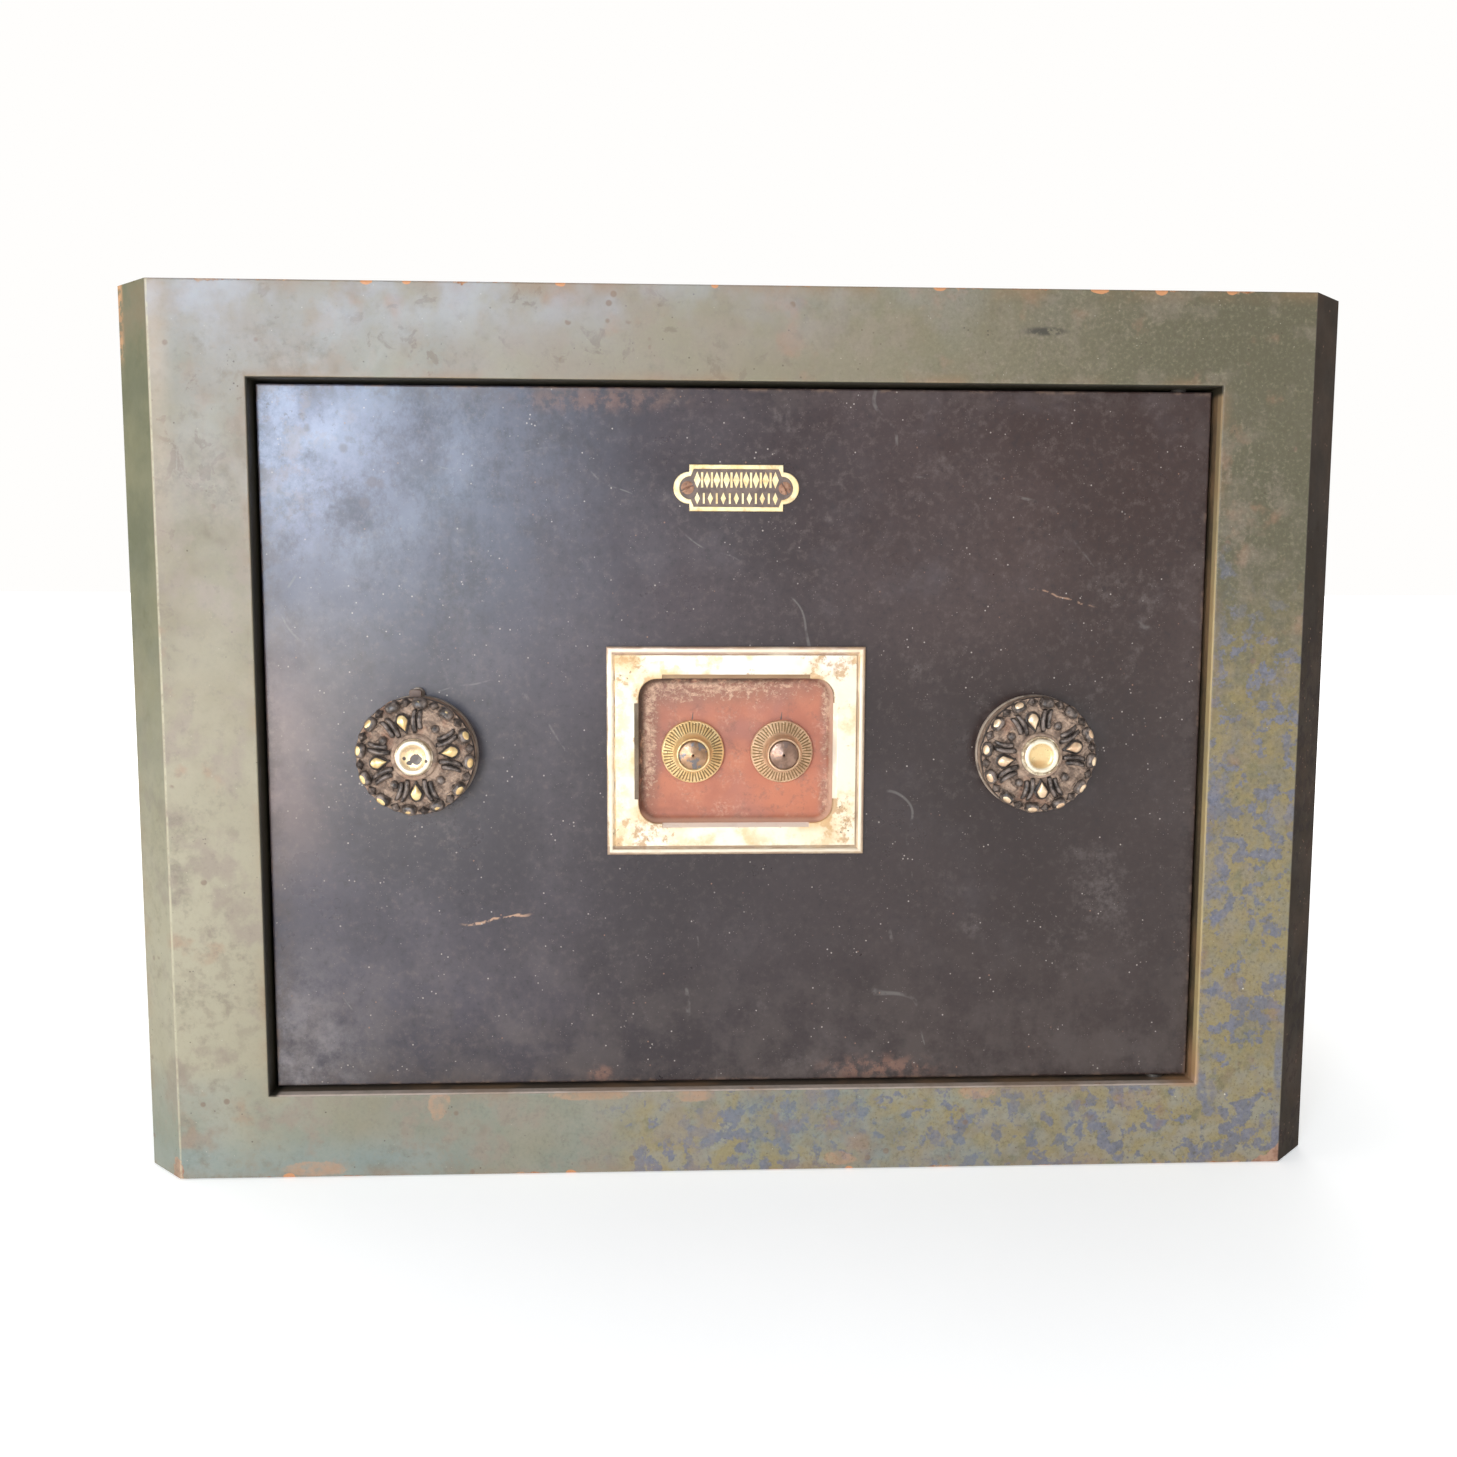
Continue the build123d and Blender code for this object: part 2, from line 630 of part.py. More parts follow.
def pinion_face():
    """An involute outline with straight roots, one tooth pointing along sketch x."""
    base_r = PITCH_R * cos(PRESSURE)
    tip_r = PITCH_R + MODULE
    root_r = PITCH_R - 1.25 * MODULE
    half = (TOOTH_PITCH / 2 - BACKLASH) / 2 / PITCH_R

    def flank_angle(r):
        return half + involute(PRESSURE) - involute(acos(min(1, base_r / r)))

    radii = [base_r + (tip_r - base_r) * step / 4 for step in range(5)]
    outline = []
    for tooth in range(TEETH):
        middle = 2 * pi * tooth / TEETH
        rising = [(root_r, -flank_angle(base_r))] + [(r, -flank_angle(r)) for r in radii]
        falling = [(r, -angle) for r, angle in reversed(rising)]
        for r, angle in rising + falling:
            outline.append((r * cos(middle + angle), r * sin(middle + angle)))
    return make_face(Polyline(*outline, close=True))


def knob_pinion():
    gear = slab(Pos(KNOB_X, ROW_Z) * pinion_face(), ARM_FRONT, ARM_BACK)
    return gear - rod_y(KNOB_X, ROW_Z, ARM_FRONT - 1, ARM_BACK + 1, 5)


def rack_tooth(x, way):
    """One rack tooth at x. way is -1 for the rack below the pinion, 1 for the one above."""
    half = (TOOTH_PITCH / 2 - BACKLASH) / 2
    lean = tan(PRESSURE)
    tip = half - MODULE * lean
    root = half + 1.25 * MODULE * lean
    at_tip = ROW_Z + way * (PITCH_R - MODULE)
    at_root = ROW_Z + way * (ARM_EDGE + 0.2)
    side = Polyline((x - root, at_root), (x - tip, at_tip), (x + tip, at_tip),
                    (x + root, at_root), close=True)
    return slab(make_face(side), ARM_FRONT, ARM_BACK)


def left_arm():
    """The lower rack, from the left bar to the pinion, with notches and fingers."""
    top = ROW_Z - ARM_EDGE
    arm = block(-BAR_IN, BAR_IN - 3, ARM_FRONT, ARM_BACK, top - ARM_H, top)
    for k in range(-2, 8):
        arm += rack_tooth(KNOB_X + k * TOOTH_PITCH, -1)
    for x in (KEY_X, KEY_X + THROW):
        arm -= block(x - NOTCH_W / 2, x + NOTCH_W / 2, ARM_FRONT - 1, ARM_BACK + 1,
                     top - NOTCH_DEEP, top + 1)
    for wheel_x in DIAL_XS.values():
        x = wheel_x + THROW / 2
        arm += block(x - FINGER_W / 2, x + FINGER_W / 2, WHEEL_FRONT, ARM_FRONT + 1,
                     top - ARM_H + 6, ROW_Z - FINGER_TOP)
    return arm


def right_arm():
    """The upper rack, from the right bar back over the pinion."""
    low = ROW_Z + ARM_EDGE
    arm = block(KNOB_X - 8 * TOOTH_PITCH, BAR_IN, ARM_FRONT, ARM_BACK, low, low + ARM_H)
    for k in range(-7, 3):
        arm += rack_tooth(KNOB_X + k * TOOTH_PITCH, 1)
    return arm


def bolt_bar():
    bar = block(BAR_IN, BAR_OUT, BOLT_Y - 5, BOLT_Y + 5, ROW_Z - BAR_HALF, ROW_Z + BAR_HALF)
    bar = fillet(bar.edges().filter_by(Axis.Y), 2)
    for z in BOLT_ZS:
        bar -= rod_x(BAR_IN - 1, BAR_OUT + 1, BOLT_Y, z, 4)
    return bar


def bolts():
    group = []
    for z in BOLT_ZS:
        bolt = rod_x(BAR_OUT, PAN_X, BOLT_Y, z, BOLT_R)
        bolt = chamfer(bolt.edges().group_by(Axis.X)[-1], 1.5)
        group.append(bolt + rod_x(BAR_IN, BAR_OUT, BOLT_Y, z, 4))
    return together(group)


# ---- rosette knob and keyhole cover -------------------------------------------------
DRUM_BACK = RECESS - RING_T - 0.3
BEADS = 12
BEAD_TURN = radians(23.5)


def rosette(x, hollow):
    """A cast drum with a beaded rim. hollow is the depth dished out of its back."""
    face = ROSETTE_FACE
    drum = turned(x, ROW_Z, [
        (0, DRUM_BACK), (ROSETTE_R - 0.8, DRUM_BACK), (ROSETTE_R, DRUM_BACK - 0.8),
        (ROSETTE_R, face + 6), (ROSETTE_R - 1.6, face + 3), (24.5, face + 2.2),
        (22.0, face + 1.2), (13.0, face + 1.8), (12.2, face + 0.6), (0, face + 0.6),
    ])
    for k in range(BEADS):
        angle = BEAD_TURN + 2 * pi * k / BEADS
        place = Pos(x + 27.4 * cos(angle), face + 3.2, ROW_Z + 27.4 * sin(angle))
        drum += place * Sphere(3.2)
    if hollow:
        drum -= rod_y(x, ROW_Z, DRUM_BACK - hollow, DRUM_BACK + 1, 25)
    return drum


def rosette_cap(x):
    """The turned ring and dish in the middle of a rosette."""
    y = ROSETTE_FACE + 0.6
    return turned(x, ROW_Z, [
        (0, y), (11.4, y), (11.4, y - 0.8), (10.4, y - 1.2), (10.2, y - 2.6),
        (9.4, y - 3.2), (7.4, y - 3.0), (6.0, y - 1.6), (2.0, y - 1.2), (0, y - 1.8),
    ])


def knob_rosette():
    body = rosette(KNOB_X, 0)
    return body - rod_y(KNOB_X, ROW_Z, 0, DRUM_BACK + 1, 5)


def knob_spindle():
    return turned(KNOB_X, ROW_Z, [
        (0, 0), (5, 0), (5, PAN_BACK - 0.5), (0, PAN_BACK - 0.5),
    ])


def cover_rosette():
    body = rosette(KEY_X, 8.0)
    pivot = cover_pivot_z()
    body += rod_y(KEY_X, pivot, LUG_FACE, DRUM_BACK, 3.2)
    body += block(KEY_X - 3.2, KEY_X + 3.2, LUG_FACE, DRUM_BACK, pivot - 4, pivot)
    return body - rod_y(KEY_X, pivot, LUG_FACE - 0.4, DRUM_BACK + 1, 1.5 + RUNNING)


# ---- combination dials --------------------------------------------------------------
def dial_knob(x):
    """A brass dial: engraved flange, cone and ring, with a seat for its button."""
    back = DIAL_FLOOR - 0.3
    body = turned(x, ROW_Z, [
        (0, back), (DIAL_R - 0.8, back), (DIAL_R, back - 0.6), (DIAL_R, back - 2.2),
        (DIAL_R - 0.7, back - 2.9), (11.2, back - 5.0), (9.4, back - 9.0),
        (8.9, back - 15.0), (8.6, back - 17.2), (7.9, back - 17.8), (7.7, back - 16.8),
        (0, back - 16.8),
    ])
    return body - rod_y(x, ROW_Z, back - 10, back + 1, 4)


def dial_button(x):
    y = DIAL_FLOOR - 0.3 - 16.8
    return turned(x, ROW_Z, [(0, y), (7.6, y), (7.5, y - 1.0), (0.8, y - 2.6), (0, y - 2.6)])


def dial_spindle(x):
    """A spindle with the nut that holds the gated wheel on its end."""
    rod = rod_y(x, ROW_Z, DIAL_FLOOR - 10.3, WHEEL_BACK + 4.5, 4)
    nut = slab(Pos(x, ROW_Z) * RegularPolygon(6.5, 6), WHEEL_BACK, WHEEL_BACK + 3.5)
    return rod + nut


def gate_wheel(x):
    """A disc with a flat at the bottom, which lets the arm's finger go by."""
    wheel = rod_y(x, ROW_Z, WHEEL_FRONT, WHEEL_BACK, WHEEL_R)
    wheel -= block(x - 20, x + 20, 0, 60, ROW_Z - 30, ROW_Z - WHEEL_FLAT)
    return wheel - rod_y(x, ROW_Z, 0, 60, 4)


# ---- key lock -----------------------------------------------------------------------
CASE_SCREW_PLACES = [
    (KEY_X + side * (CASE_HALF - 6), z)
    for side in (-1, 1) for z in (CASE_LOW + 6, CASE_HIGH - 7)
]
CASE_SCREW = (CASE_BACK + 3, 12.0, 3.0, 1.5, 1)


def lock_case():
    case = block(KEY_X - CASE_HALF, KEY_X + CASE_HALF, DOOR_BACK, CASE_BACK,
                 CASE_LOW, CASE_HIGH)
    inner = CASE_HALF - CASE_T
    case -= block(KEY_X - inner, KEY_X + inner, DOOR_BACK + CASE_T, CASE_BACK + 1,
                  CASE_LOW + CASE_T, CASE_HIGH - CASE_T)
    for x, z in CASE_SCREW_PLACES:
        case += rod_y(x, z, DOOR_BACK, CASE_BACK, 3.4)
    case -= block(KEY_X - LOCK_TAIL - 0.1, KEY_X + LOCK_TAIL + 0.1,
                  ARM_FRONT - 0.1, ARM_BACK + 0.1, CASE_LOW - 1, CASE_LOW + CASE_T + 1)
    case -= keyhole(DOOR_BACK - 1, DOOR_BACK + CASE_T + 1)
    for x, z in CASE_SCREW_PLACES:
        case -= sunk_hole(x, z, *CASE_SCREW)
    return case


def lock_case_cover():
    cover = block(KEY_X - CASE_HALF, KEY_X + CASE_HALF, CASE_BACK, CASE_BACK + 3,
                  CASE_LOW, CASE_HIGH)
    for x, z in CASE_SCREW_PLACES:
        cover -= sunk_hole(x, z, *CASE_SCREW)
    return cover


def lock_case_screws():
    return together([sunk_screw(x, z, *CASE_SCREW) for x, z in CASE_SCREW_PLACES])


def lever_post():
    return rod_y(KEY_X, POST_Z, DOOR_BACK + CASE_T, CASE_BACK, POST_R)


def lock_bolt():
    """The key lock's bolt: a tail below, a slot round the post, and a stump."""
    low = ROW_Z - 2
    high = ROW_Z + 70
    y0, y1 = ARM_FRONT, ARM_BACK
    bolt = block(KEY_X - 10, KEY_X + 10, y0, y1, low, high)
    tail = block(KEY_X - LOCK_TAIL, KEY_X + LOCK_TAIL, y0, y1, CASE_LOW - 0.5, low + 1)
    slot_r = POST_R + 0.06
    slot = block(KEY_X - slot_r, KEY_X + slot_r, y0 - 1, y1 + 1, POST_Z, POST_Z + LOCK_THROW)
    slot += rod_y(KEY_X, POST_Z, y0 - 1, y1 + 1, slot_r)
    slot += rod_y(KEY_X, POST_Z + LOCK_THROW + 0.5, y0 - 1, y1 + 1, slot_r)
    stump = block(KEY_X - STUMP_HALF, KEY_X + STUMP_HALF, DOOR_BACK + 5, y0 + 1,
                  STUMP_Z - STUMP_HALF, STUMP_Z + STUMP_HALF)
    bit_room = block(KEY_X + 4, KEY_X + 11, y0 - 1, y1 + 1, ROW_Z + 9, ROW_Z + 17)
    return bolt + tail + stump - slot - bit_room


LEVER_YS = [28.0, 31.2, 34.4, 37.6]
LEVER_T = 2.4


def lever_sketch():
    """A lever that hangs on the post, with a gated window for the stump."""
    plate = Pos(KEY_X, POST_Z) * Circle(9)
    plate += Pos(KEY_X, (POST_Z + ROW_Z + 12) / 2) * Rectangle(24, POST_Z - ROW_Z - 12)
    plate -= Pos(KEY_X, POST_Z) * Circle(POST_R + RUNNING)
    gate = STUMP_HALF + 0.5
    swing = 3.2
    middle = STUMP_Z - LOCK_THROW / 2
    plate -= Pos(KEY_X, middle) * Rectangle(2 * gate, 13.4)
    for way in (-1, 1):
        z = middle + way * 4.1
        plate -= Pos(KEY_X - swing / 2, z) * Rectangle(2 * gate + swing, 5.6)
    return plate


def lock_levers():
    return together([slab(lever_sketch(), y, y + LEVER_T) for y in LEVER_YS])


def lever_springs():
    """A leaf spring on the head of every lever."""
    foot = (KEY_X + 4, POST_Z + sqrt(81 - 16))
    knee = (KEY_X + 6, POST_Z + 13)
    tip = (KEY_X + 11, POST_Z + 18)
    leaf = make_face(Polyline(
        foot, knee, tip, (tip[0] + 0.3, tip[1] - 0.5), (knee[0] + 0.6, knee[1] - 0.3),
        (foot[0] + 0.6, foot[1] - 0.6), close=True))
    springs = [slab(leaf, y + 0.2, y + LEVER_T - 0.2) for y in LEVER_YS]
    return together(springs) - rod_y(KEY_X, POST_Z, 0, 60, 9)


# ---- the nodes ----------------------------------------------------------------------
def all_nodes():
    nodes = {
        "front_frame": front_frame(),
        "frame_angles": frame_angles(),
        "outer_casing": outer_casing(),
        "casing_rivets": casing_rivets(),
        "inner_lining": inner_lining(),
        "fireproof_fill": fireproof_fill(),
        "back_plate": back_plate(),
        "back_plate_screws": back_plate_screws(),
        "right_strike_bar": strike_bar(),
        "left_strike_bar": mirrored(strike_bar()),
        "jamb_rails": jamb_rails(),
        "door_stop_strip": door_stop_strip(),
        "shelf": shelf(),
        "shelf_rails": shelf_rails(),
        "anchor_lugs": anchor_lugs(),
        "pivot_pins": pivot_pins(),
        "pivot_washer": pivot_washer(),
        "door_plate": door_plate(),
        "door_pan": door_pan(),
        "back_cover": back_cover(),
        "cover_screws": cover_screws(),
        "escutcheon_frame": escutcheon_frame(),
        "dial_pan": dial_pan(),
        "nameplate": nameplate(),
        "nameplate_screws": nameplate_screws(),
        "keyhole_ring": keyhole_ring(),
        "keyhole_plate": keyhole_plate(),
        "cover_pivot_pin": cover_pivot_pin(),
        "knob_base_ring": base_ring(KNOB_X, 10.0),
        "bolt_guides": bolt_guides(),
        "spindle_bushes": spindle_bushes(),
        "arm_guides": arm_guides(),
        "lock_case": lock_case(),
        "lock_case_cover": lock_case_cover(),
        "lock_case_screws": lock_case_screws(),
        "lever_post": lever_post(),
        "left_arm": left_arm(),
        "right_arm": right_arm(),
        "right_bolt_bar": bolt_bar(),
        "left_bolt_bar": mirrored(bolt_bar()),
        "right_bolts": bolts(),
        "left_bolts": mirrored(bolts()),
        "knob_rosette": knob_rosette(),
        "knob_cap": rosette_cap(KNOB_X),
        "knob_spindle": knob_spindle(),
        "knob_pinion": knob_pinion(),
        "cover_rosette": cover_rosette(),
        "cover_cap": rosette_cap(KEY_X),
        "lock_bolt": lock_bolt(),
        "lock_levers": lock_levers(),
        "lever_springs": lever_springs(),
    }
    for side, x in DIAL_XS.items():
        nodes[f"{side}_dial"] = dial_knob(x)
        nodes[f"{side}_dial_button"] = dial_button(x)
        nodes[f"{side}_dial_spindle"] = dial_spindle(x)
        nodes[f"{side}_gate_wheel"] = gate_wheel(x)
    return nodes


os.makedirs("parts", exist_ok=True)
for node_name, node_shape in all_nodes().items():
    save(node_name, node_shape)
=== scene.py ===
import json
import math

import bmesh
import bpy
import numpy as np
from mathutils import Matrix, Vector


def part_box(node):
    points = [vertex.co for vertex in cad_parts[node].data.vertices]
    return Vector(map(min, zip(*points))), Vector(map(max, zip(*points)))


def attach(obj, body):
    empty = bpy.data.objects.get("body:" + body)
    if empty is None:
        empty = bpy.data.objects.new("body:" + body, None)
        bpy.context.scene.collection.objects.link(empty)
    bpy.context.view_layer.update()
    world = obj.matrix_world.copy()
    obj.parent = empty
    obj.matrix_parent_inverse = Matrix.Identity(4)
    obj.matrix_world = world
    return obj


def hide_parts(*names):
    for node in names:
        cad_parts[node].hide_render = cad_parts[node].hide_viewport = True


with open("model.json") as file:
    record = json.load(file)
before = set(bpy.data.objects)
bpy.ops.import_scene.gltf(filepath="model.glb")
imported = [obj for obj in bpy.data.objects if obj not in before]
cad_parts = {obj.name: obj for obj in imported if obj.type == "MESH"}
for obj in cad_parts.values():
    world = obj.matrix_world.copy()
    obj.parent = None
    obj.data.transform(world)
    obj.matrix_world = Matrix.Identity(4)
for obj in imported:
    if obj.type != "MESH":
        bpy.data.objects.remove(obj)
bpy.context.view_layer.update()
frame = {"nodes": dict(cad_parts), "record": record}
MM = 0.001


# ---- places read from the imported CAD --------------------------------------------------
def centre(node):
    low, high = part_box(node)
    return [(low[i] + high[i]) / 2 for i in range(3)]


def front(node):
    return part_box(node)[0][1]


def size(node, axis):
    low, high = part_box(node)
    return high[axis] - low[axis]


OUT_LOW, OUT_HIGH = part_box("front_frame")
DOOR_LOW, DOOR_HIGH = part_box("door_plate")
KNOB = centre("knob_cap")
KEY = centre("cover_cap")
ROW = KNOB[2]
ESC = centre("escutcheon_frame")
PLATE = centre("nameplate")
DIALS = {side: centre(side + "_dial") for side in ("left", "right")}
# half width, half height and corner radius of the cream frame's opening, in millimetres
OPEN_W, OPEN_H, OPEN_R = 51.7, 38.6, 10.0
OPENING = ([ESC[0] - OPEN_W * MM, 0, ESC[2] - OPEN_H * MM],
    [ESC[0] + OPEN_W * MM, 0, ESC[2] + OPEN_H * MM], OPEN_R * MM)


# ---- node materials -------------------------------------------------------------------
class Nodes:
    """Builds expressions in a node tree."""

    def __init__(self, tree):
        self.tree = tree

    def node(self, kind, **props):
        made = self.tree.nodes.new(kind)
        for key, value in props.items():
            setattr(made, key, value)
        return made

    def put(self, socket, value):
        if isinstance(value, bpy.types.NodeSocket):
            self.tree.links.new(value, socket)
        elif socket.type == "RGBA" and len(value) == 3:
            socket.default_value = (*value, 1.0)
        else:
            socket.default_value = value

    def split(self, at):
        made = self.node("ShaderNodeSeparateXYZ")
        self.put(made.inputs[0], at)
        return made.outputs

    @staticmethod
    def tune(made, **numbers):
        for key, value in numbers.items():
            made.inputs[key.replace("_", " ")].default_value = value

    def math(self, op, a, b=0.0, *more, clamp=False):
        made = self.node("ShaderNodeMath", operation=op, use_clamp=clamp)
        for i, value in enumerate((a, b, *more)):
            self.put(made.inputs[i], value)
        return made.outputs[0]

    def chain(self, op, values):
        """Joins values by op; one given as (value, lo, hi) is eased over that span first."""
        values = [self.span(*v) if isinstance(v, tuple) else v for v in values]
        total = values[0]
        for value in values[1:]:
            total = self.math(op, total, value)
        return total

    def mul(self, *values):
        return self.chain("MULTIPLY", values)

    def most(self, *values):
        return self.chain("MAXIMUM", values)

    def least(self, *values):
        return self.chain("MINIMUM", values)

    def add(self, a, b, clamp=False):
        return self.math("ADD", a, b, clamp=clamp)

    def sub(self, a, b):
        return self.math("SUBTRACT", a, b)

    def ratio(self, a, b):
        return self.math("DIVIDE", a, b)

    def flip(self, value):
        return self.sub(1.0, value)

    def size(self, value):
        return self.math("ABSOLUTE", value)

    def off(self, a, b):
        """How far two values are apart."""
        return self.size(self.sub(a, b))

    def hypot(self, a, b):
        return self.math("SQRT", self.add(self.mul(a, a), self.mul(b, b)))

    def span(self, value, lo, hi, out_lo=0.0, out_hi=1.0):
        """Eases from out_lo to out_hi while value goes from lo to hi."""
        made = self.node("ShaderNodeMapRange", interpolation_type="SMOOTHSTEP")
        for i, v in enumerate((value, lo, hi, out_lo, out_hi)):
            self.put(made.inputs[i], v)
        return made.outputs[0]


MATS = {}


class Mat(Nodes):
    """One node material; self.colour is its colour so far, which coat() paints over."""

    def __init__(self, name, rough=0.5, metal=0.0, **fixed):
        made = MATS[name] = bpy.data.materials.new(name)
        made.use_nodes = True
        super().__init__(made.node_tree)
        self.shader = self.tree.nodes["Principled BSDF"]
        self.tune(self.shader, Roughness=rough, Metallic=metal, **fixed)
        self.at = self.node("ShaderNodeTexCoord").outputs["Object"]
        self.x, self.y, self.z = self.split(self.at)

    def set(self, name, value):
        self.put(self.shader.inputs[name], value)

    def mix(self, fac, a, b):
        made = self.node("ShaderNodeMix", data_type="RGBA")
        self.put(made.inputs["Factor"], fac)
        self.put(made.inputs[6], a)
        self.put(made.inputs[7], b)
        return made.outputs[2]

    def coat(self, tone, *masks):
        """Lays a tone over the colour so far, as strongly as the product of its masks."""
        self.colour = self.mix(self.mul(*masks), self.colour, tone)

    def stretched(self, scale, shift=(0, 0, 0)):
        made = self.node("ShaderNodeMapping")
        self.put(made.inputs["Vector"], self.at)
        made.inputs["Scale"].default_value = scale
        made.inputs["Location"].default_value = shift
        return made.outputs[0]

    def noise(self, scale, detail=4.0, rough=0.55, at=None, warp=0.0):
        made = self.node("ShaderNodeTexNoise")
        self.put(made.inputs["Vector"], at or self.at)
        self.tune(made, Scale=scale, Detail=detail, Roughness=rough, Distortion=warp)
        return made.outputs["Fac"]

    def blots(self, lo, hi, *args, **more):
        """Patches where a noise of these settings lies beyond lo, full at hi."""
        return self.span(self.noise(*args, **more), lo, hi)

    def specks(self, scale, size, amount):
        """Small dots, about size of a cell across, kept where a broad noise allows."""
        cells = self.node("ShaderNodeTexVoronoi")
        self.put(cells.inputs["Vector"], self.at)
        self.tune(cells, Scale=scale, Randomness=1.0)
        dots = self.span(cells.outputs["Distance"], size, size * 0.55)
        return self.mul(dots, self.blots(1 - amount, 1.04 - amount, scale * 0.37, 2))

    def spot(self, x, z, rx, rz, soft=0.5):
        """1 inside an ellipse on the front, fading out over soft of its radius."""
        far = self.hypot(self.ratio(self.sub(self.x, x), rx), self.ratio(self.sub(self.z, z), rz))
        return self.span(far, 1.0 + soft / 2, 1.0 - soft / 2)

    def box_gap(self, low, high, radius=0.0):
        """Metres from the outline of a rounded rectangle on the front; negative inside."""
        parts = []
        for axis, i in ((self.x, 0), (self.z, 2)):
            mid, half = (low[i] + high[i]) / 2, (high[i] - low[i]) / 2 - radius
            parts.append(self.sub(self.off(axis, mid), half))
        corner = self.hypot(*[self.most(part, 0.0) for part in parts])
        inner = self.least(self.most(*parts), 0.0)
        return self.sub(self.add(corner, inner), radius)

    def line_gap(self, *box):
        """Metres from the outline, inside or outside."""
        return self.size(self.box_gap(*box))

    def ring_gap(self, place):
        """Metres from a place on the front."""
        return self.hypot(self.sub(self.x, place[0]), self.sub(self.z, place[2]))

    def edge(self, radius):
        """1 on convex and concave edges, from the angle of a rounded normal."""
        made = self.node("ShaderNodeBevel", samples=4)
        self.tune(made, Radius=radius)
        geo = self.node("ShaderNodeNewGeometry")
        dot = self.node("ShaderNodeVectorMath", operation="DOT_PRODUCT")
        self.put(dot.inputs[0], made.outputs[0])
        self.put(dot.inputs[1], geo.outputs["Normal"])
        return self.span(dot.outputs["Value"], 0.995, 0.85)

    def attribute(self, name):
        made = self.node("ShaderNodeAttribute", attribute_name=name)
        return made.outputs["Fac"]

    def done(self, rough, height, depth, strength):
        """Sets the final colour, roughness and bump."""
        self.set("Base Color", self.colour)
        self.set("Roughness", rough)
        made = self.node("ShaderNodeBump")
        self.tune(made, Strength=strength, Distance=depth)
        self.put(made.inputs["Height"], height)
        self.set("Normal", made.outputs[0])


def scaled(tone, by):
    return tuple(min(1.0, part * by) for part in tone)


FACE = -0.165  # y of the frame's face
SLOPE = 0.022  # width of the slopes down its sides
RUST = (0.3, 0.115, 0.045)
TAN = (0.46, 0.29, 0.17)

# chips along the front edge, as x, half width and half height, and rust smears along the
# bottom rail, as x, z, half width and half height
TOP_CHIPS = [(-0.189, 0.003, 0.002), (-0.169, 0.0022, 0.0016), (-0.092, 0.0026, 0.0018),
    (-0.014, 0.002, 0.0016), (0.101, 0.0034, 0.0016), (0.184, 0.005, 0.002),
    (0.216, 0.0036, 0.0024), (0.253, 0.0028, 0.0018)]
RAIL_RUST = [(-0.227, 0.0045, 0.017, 0.0045), (-0.161, 0.04, 0.006, 0.009),
    (-0.08, 0.044, 0.022, 0.0035), (-0.024, 0.043, 0.011, 0.0045), (0.055, 0.006, 0.01, 0.004),
    (0.13, 0.042, 0.012, 0.004)]
BOTTOM_CHIPS = [(-0.241, 0.0034, 0.0022), (-0.091, 0.0028, 0.0018), (0.06, 0.0022, 0.0014)]


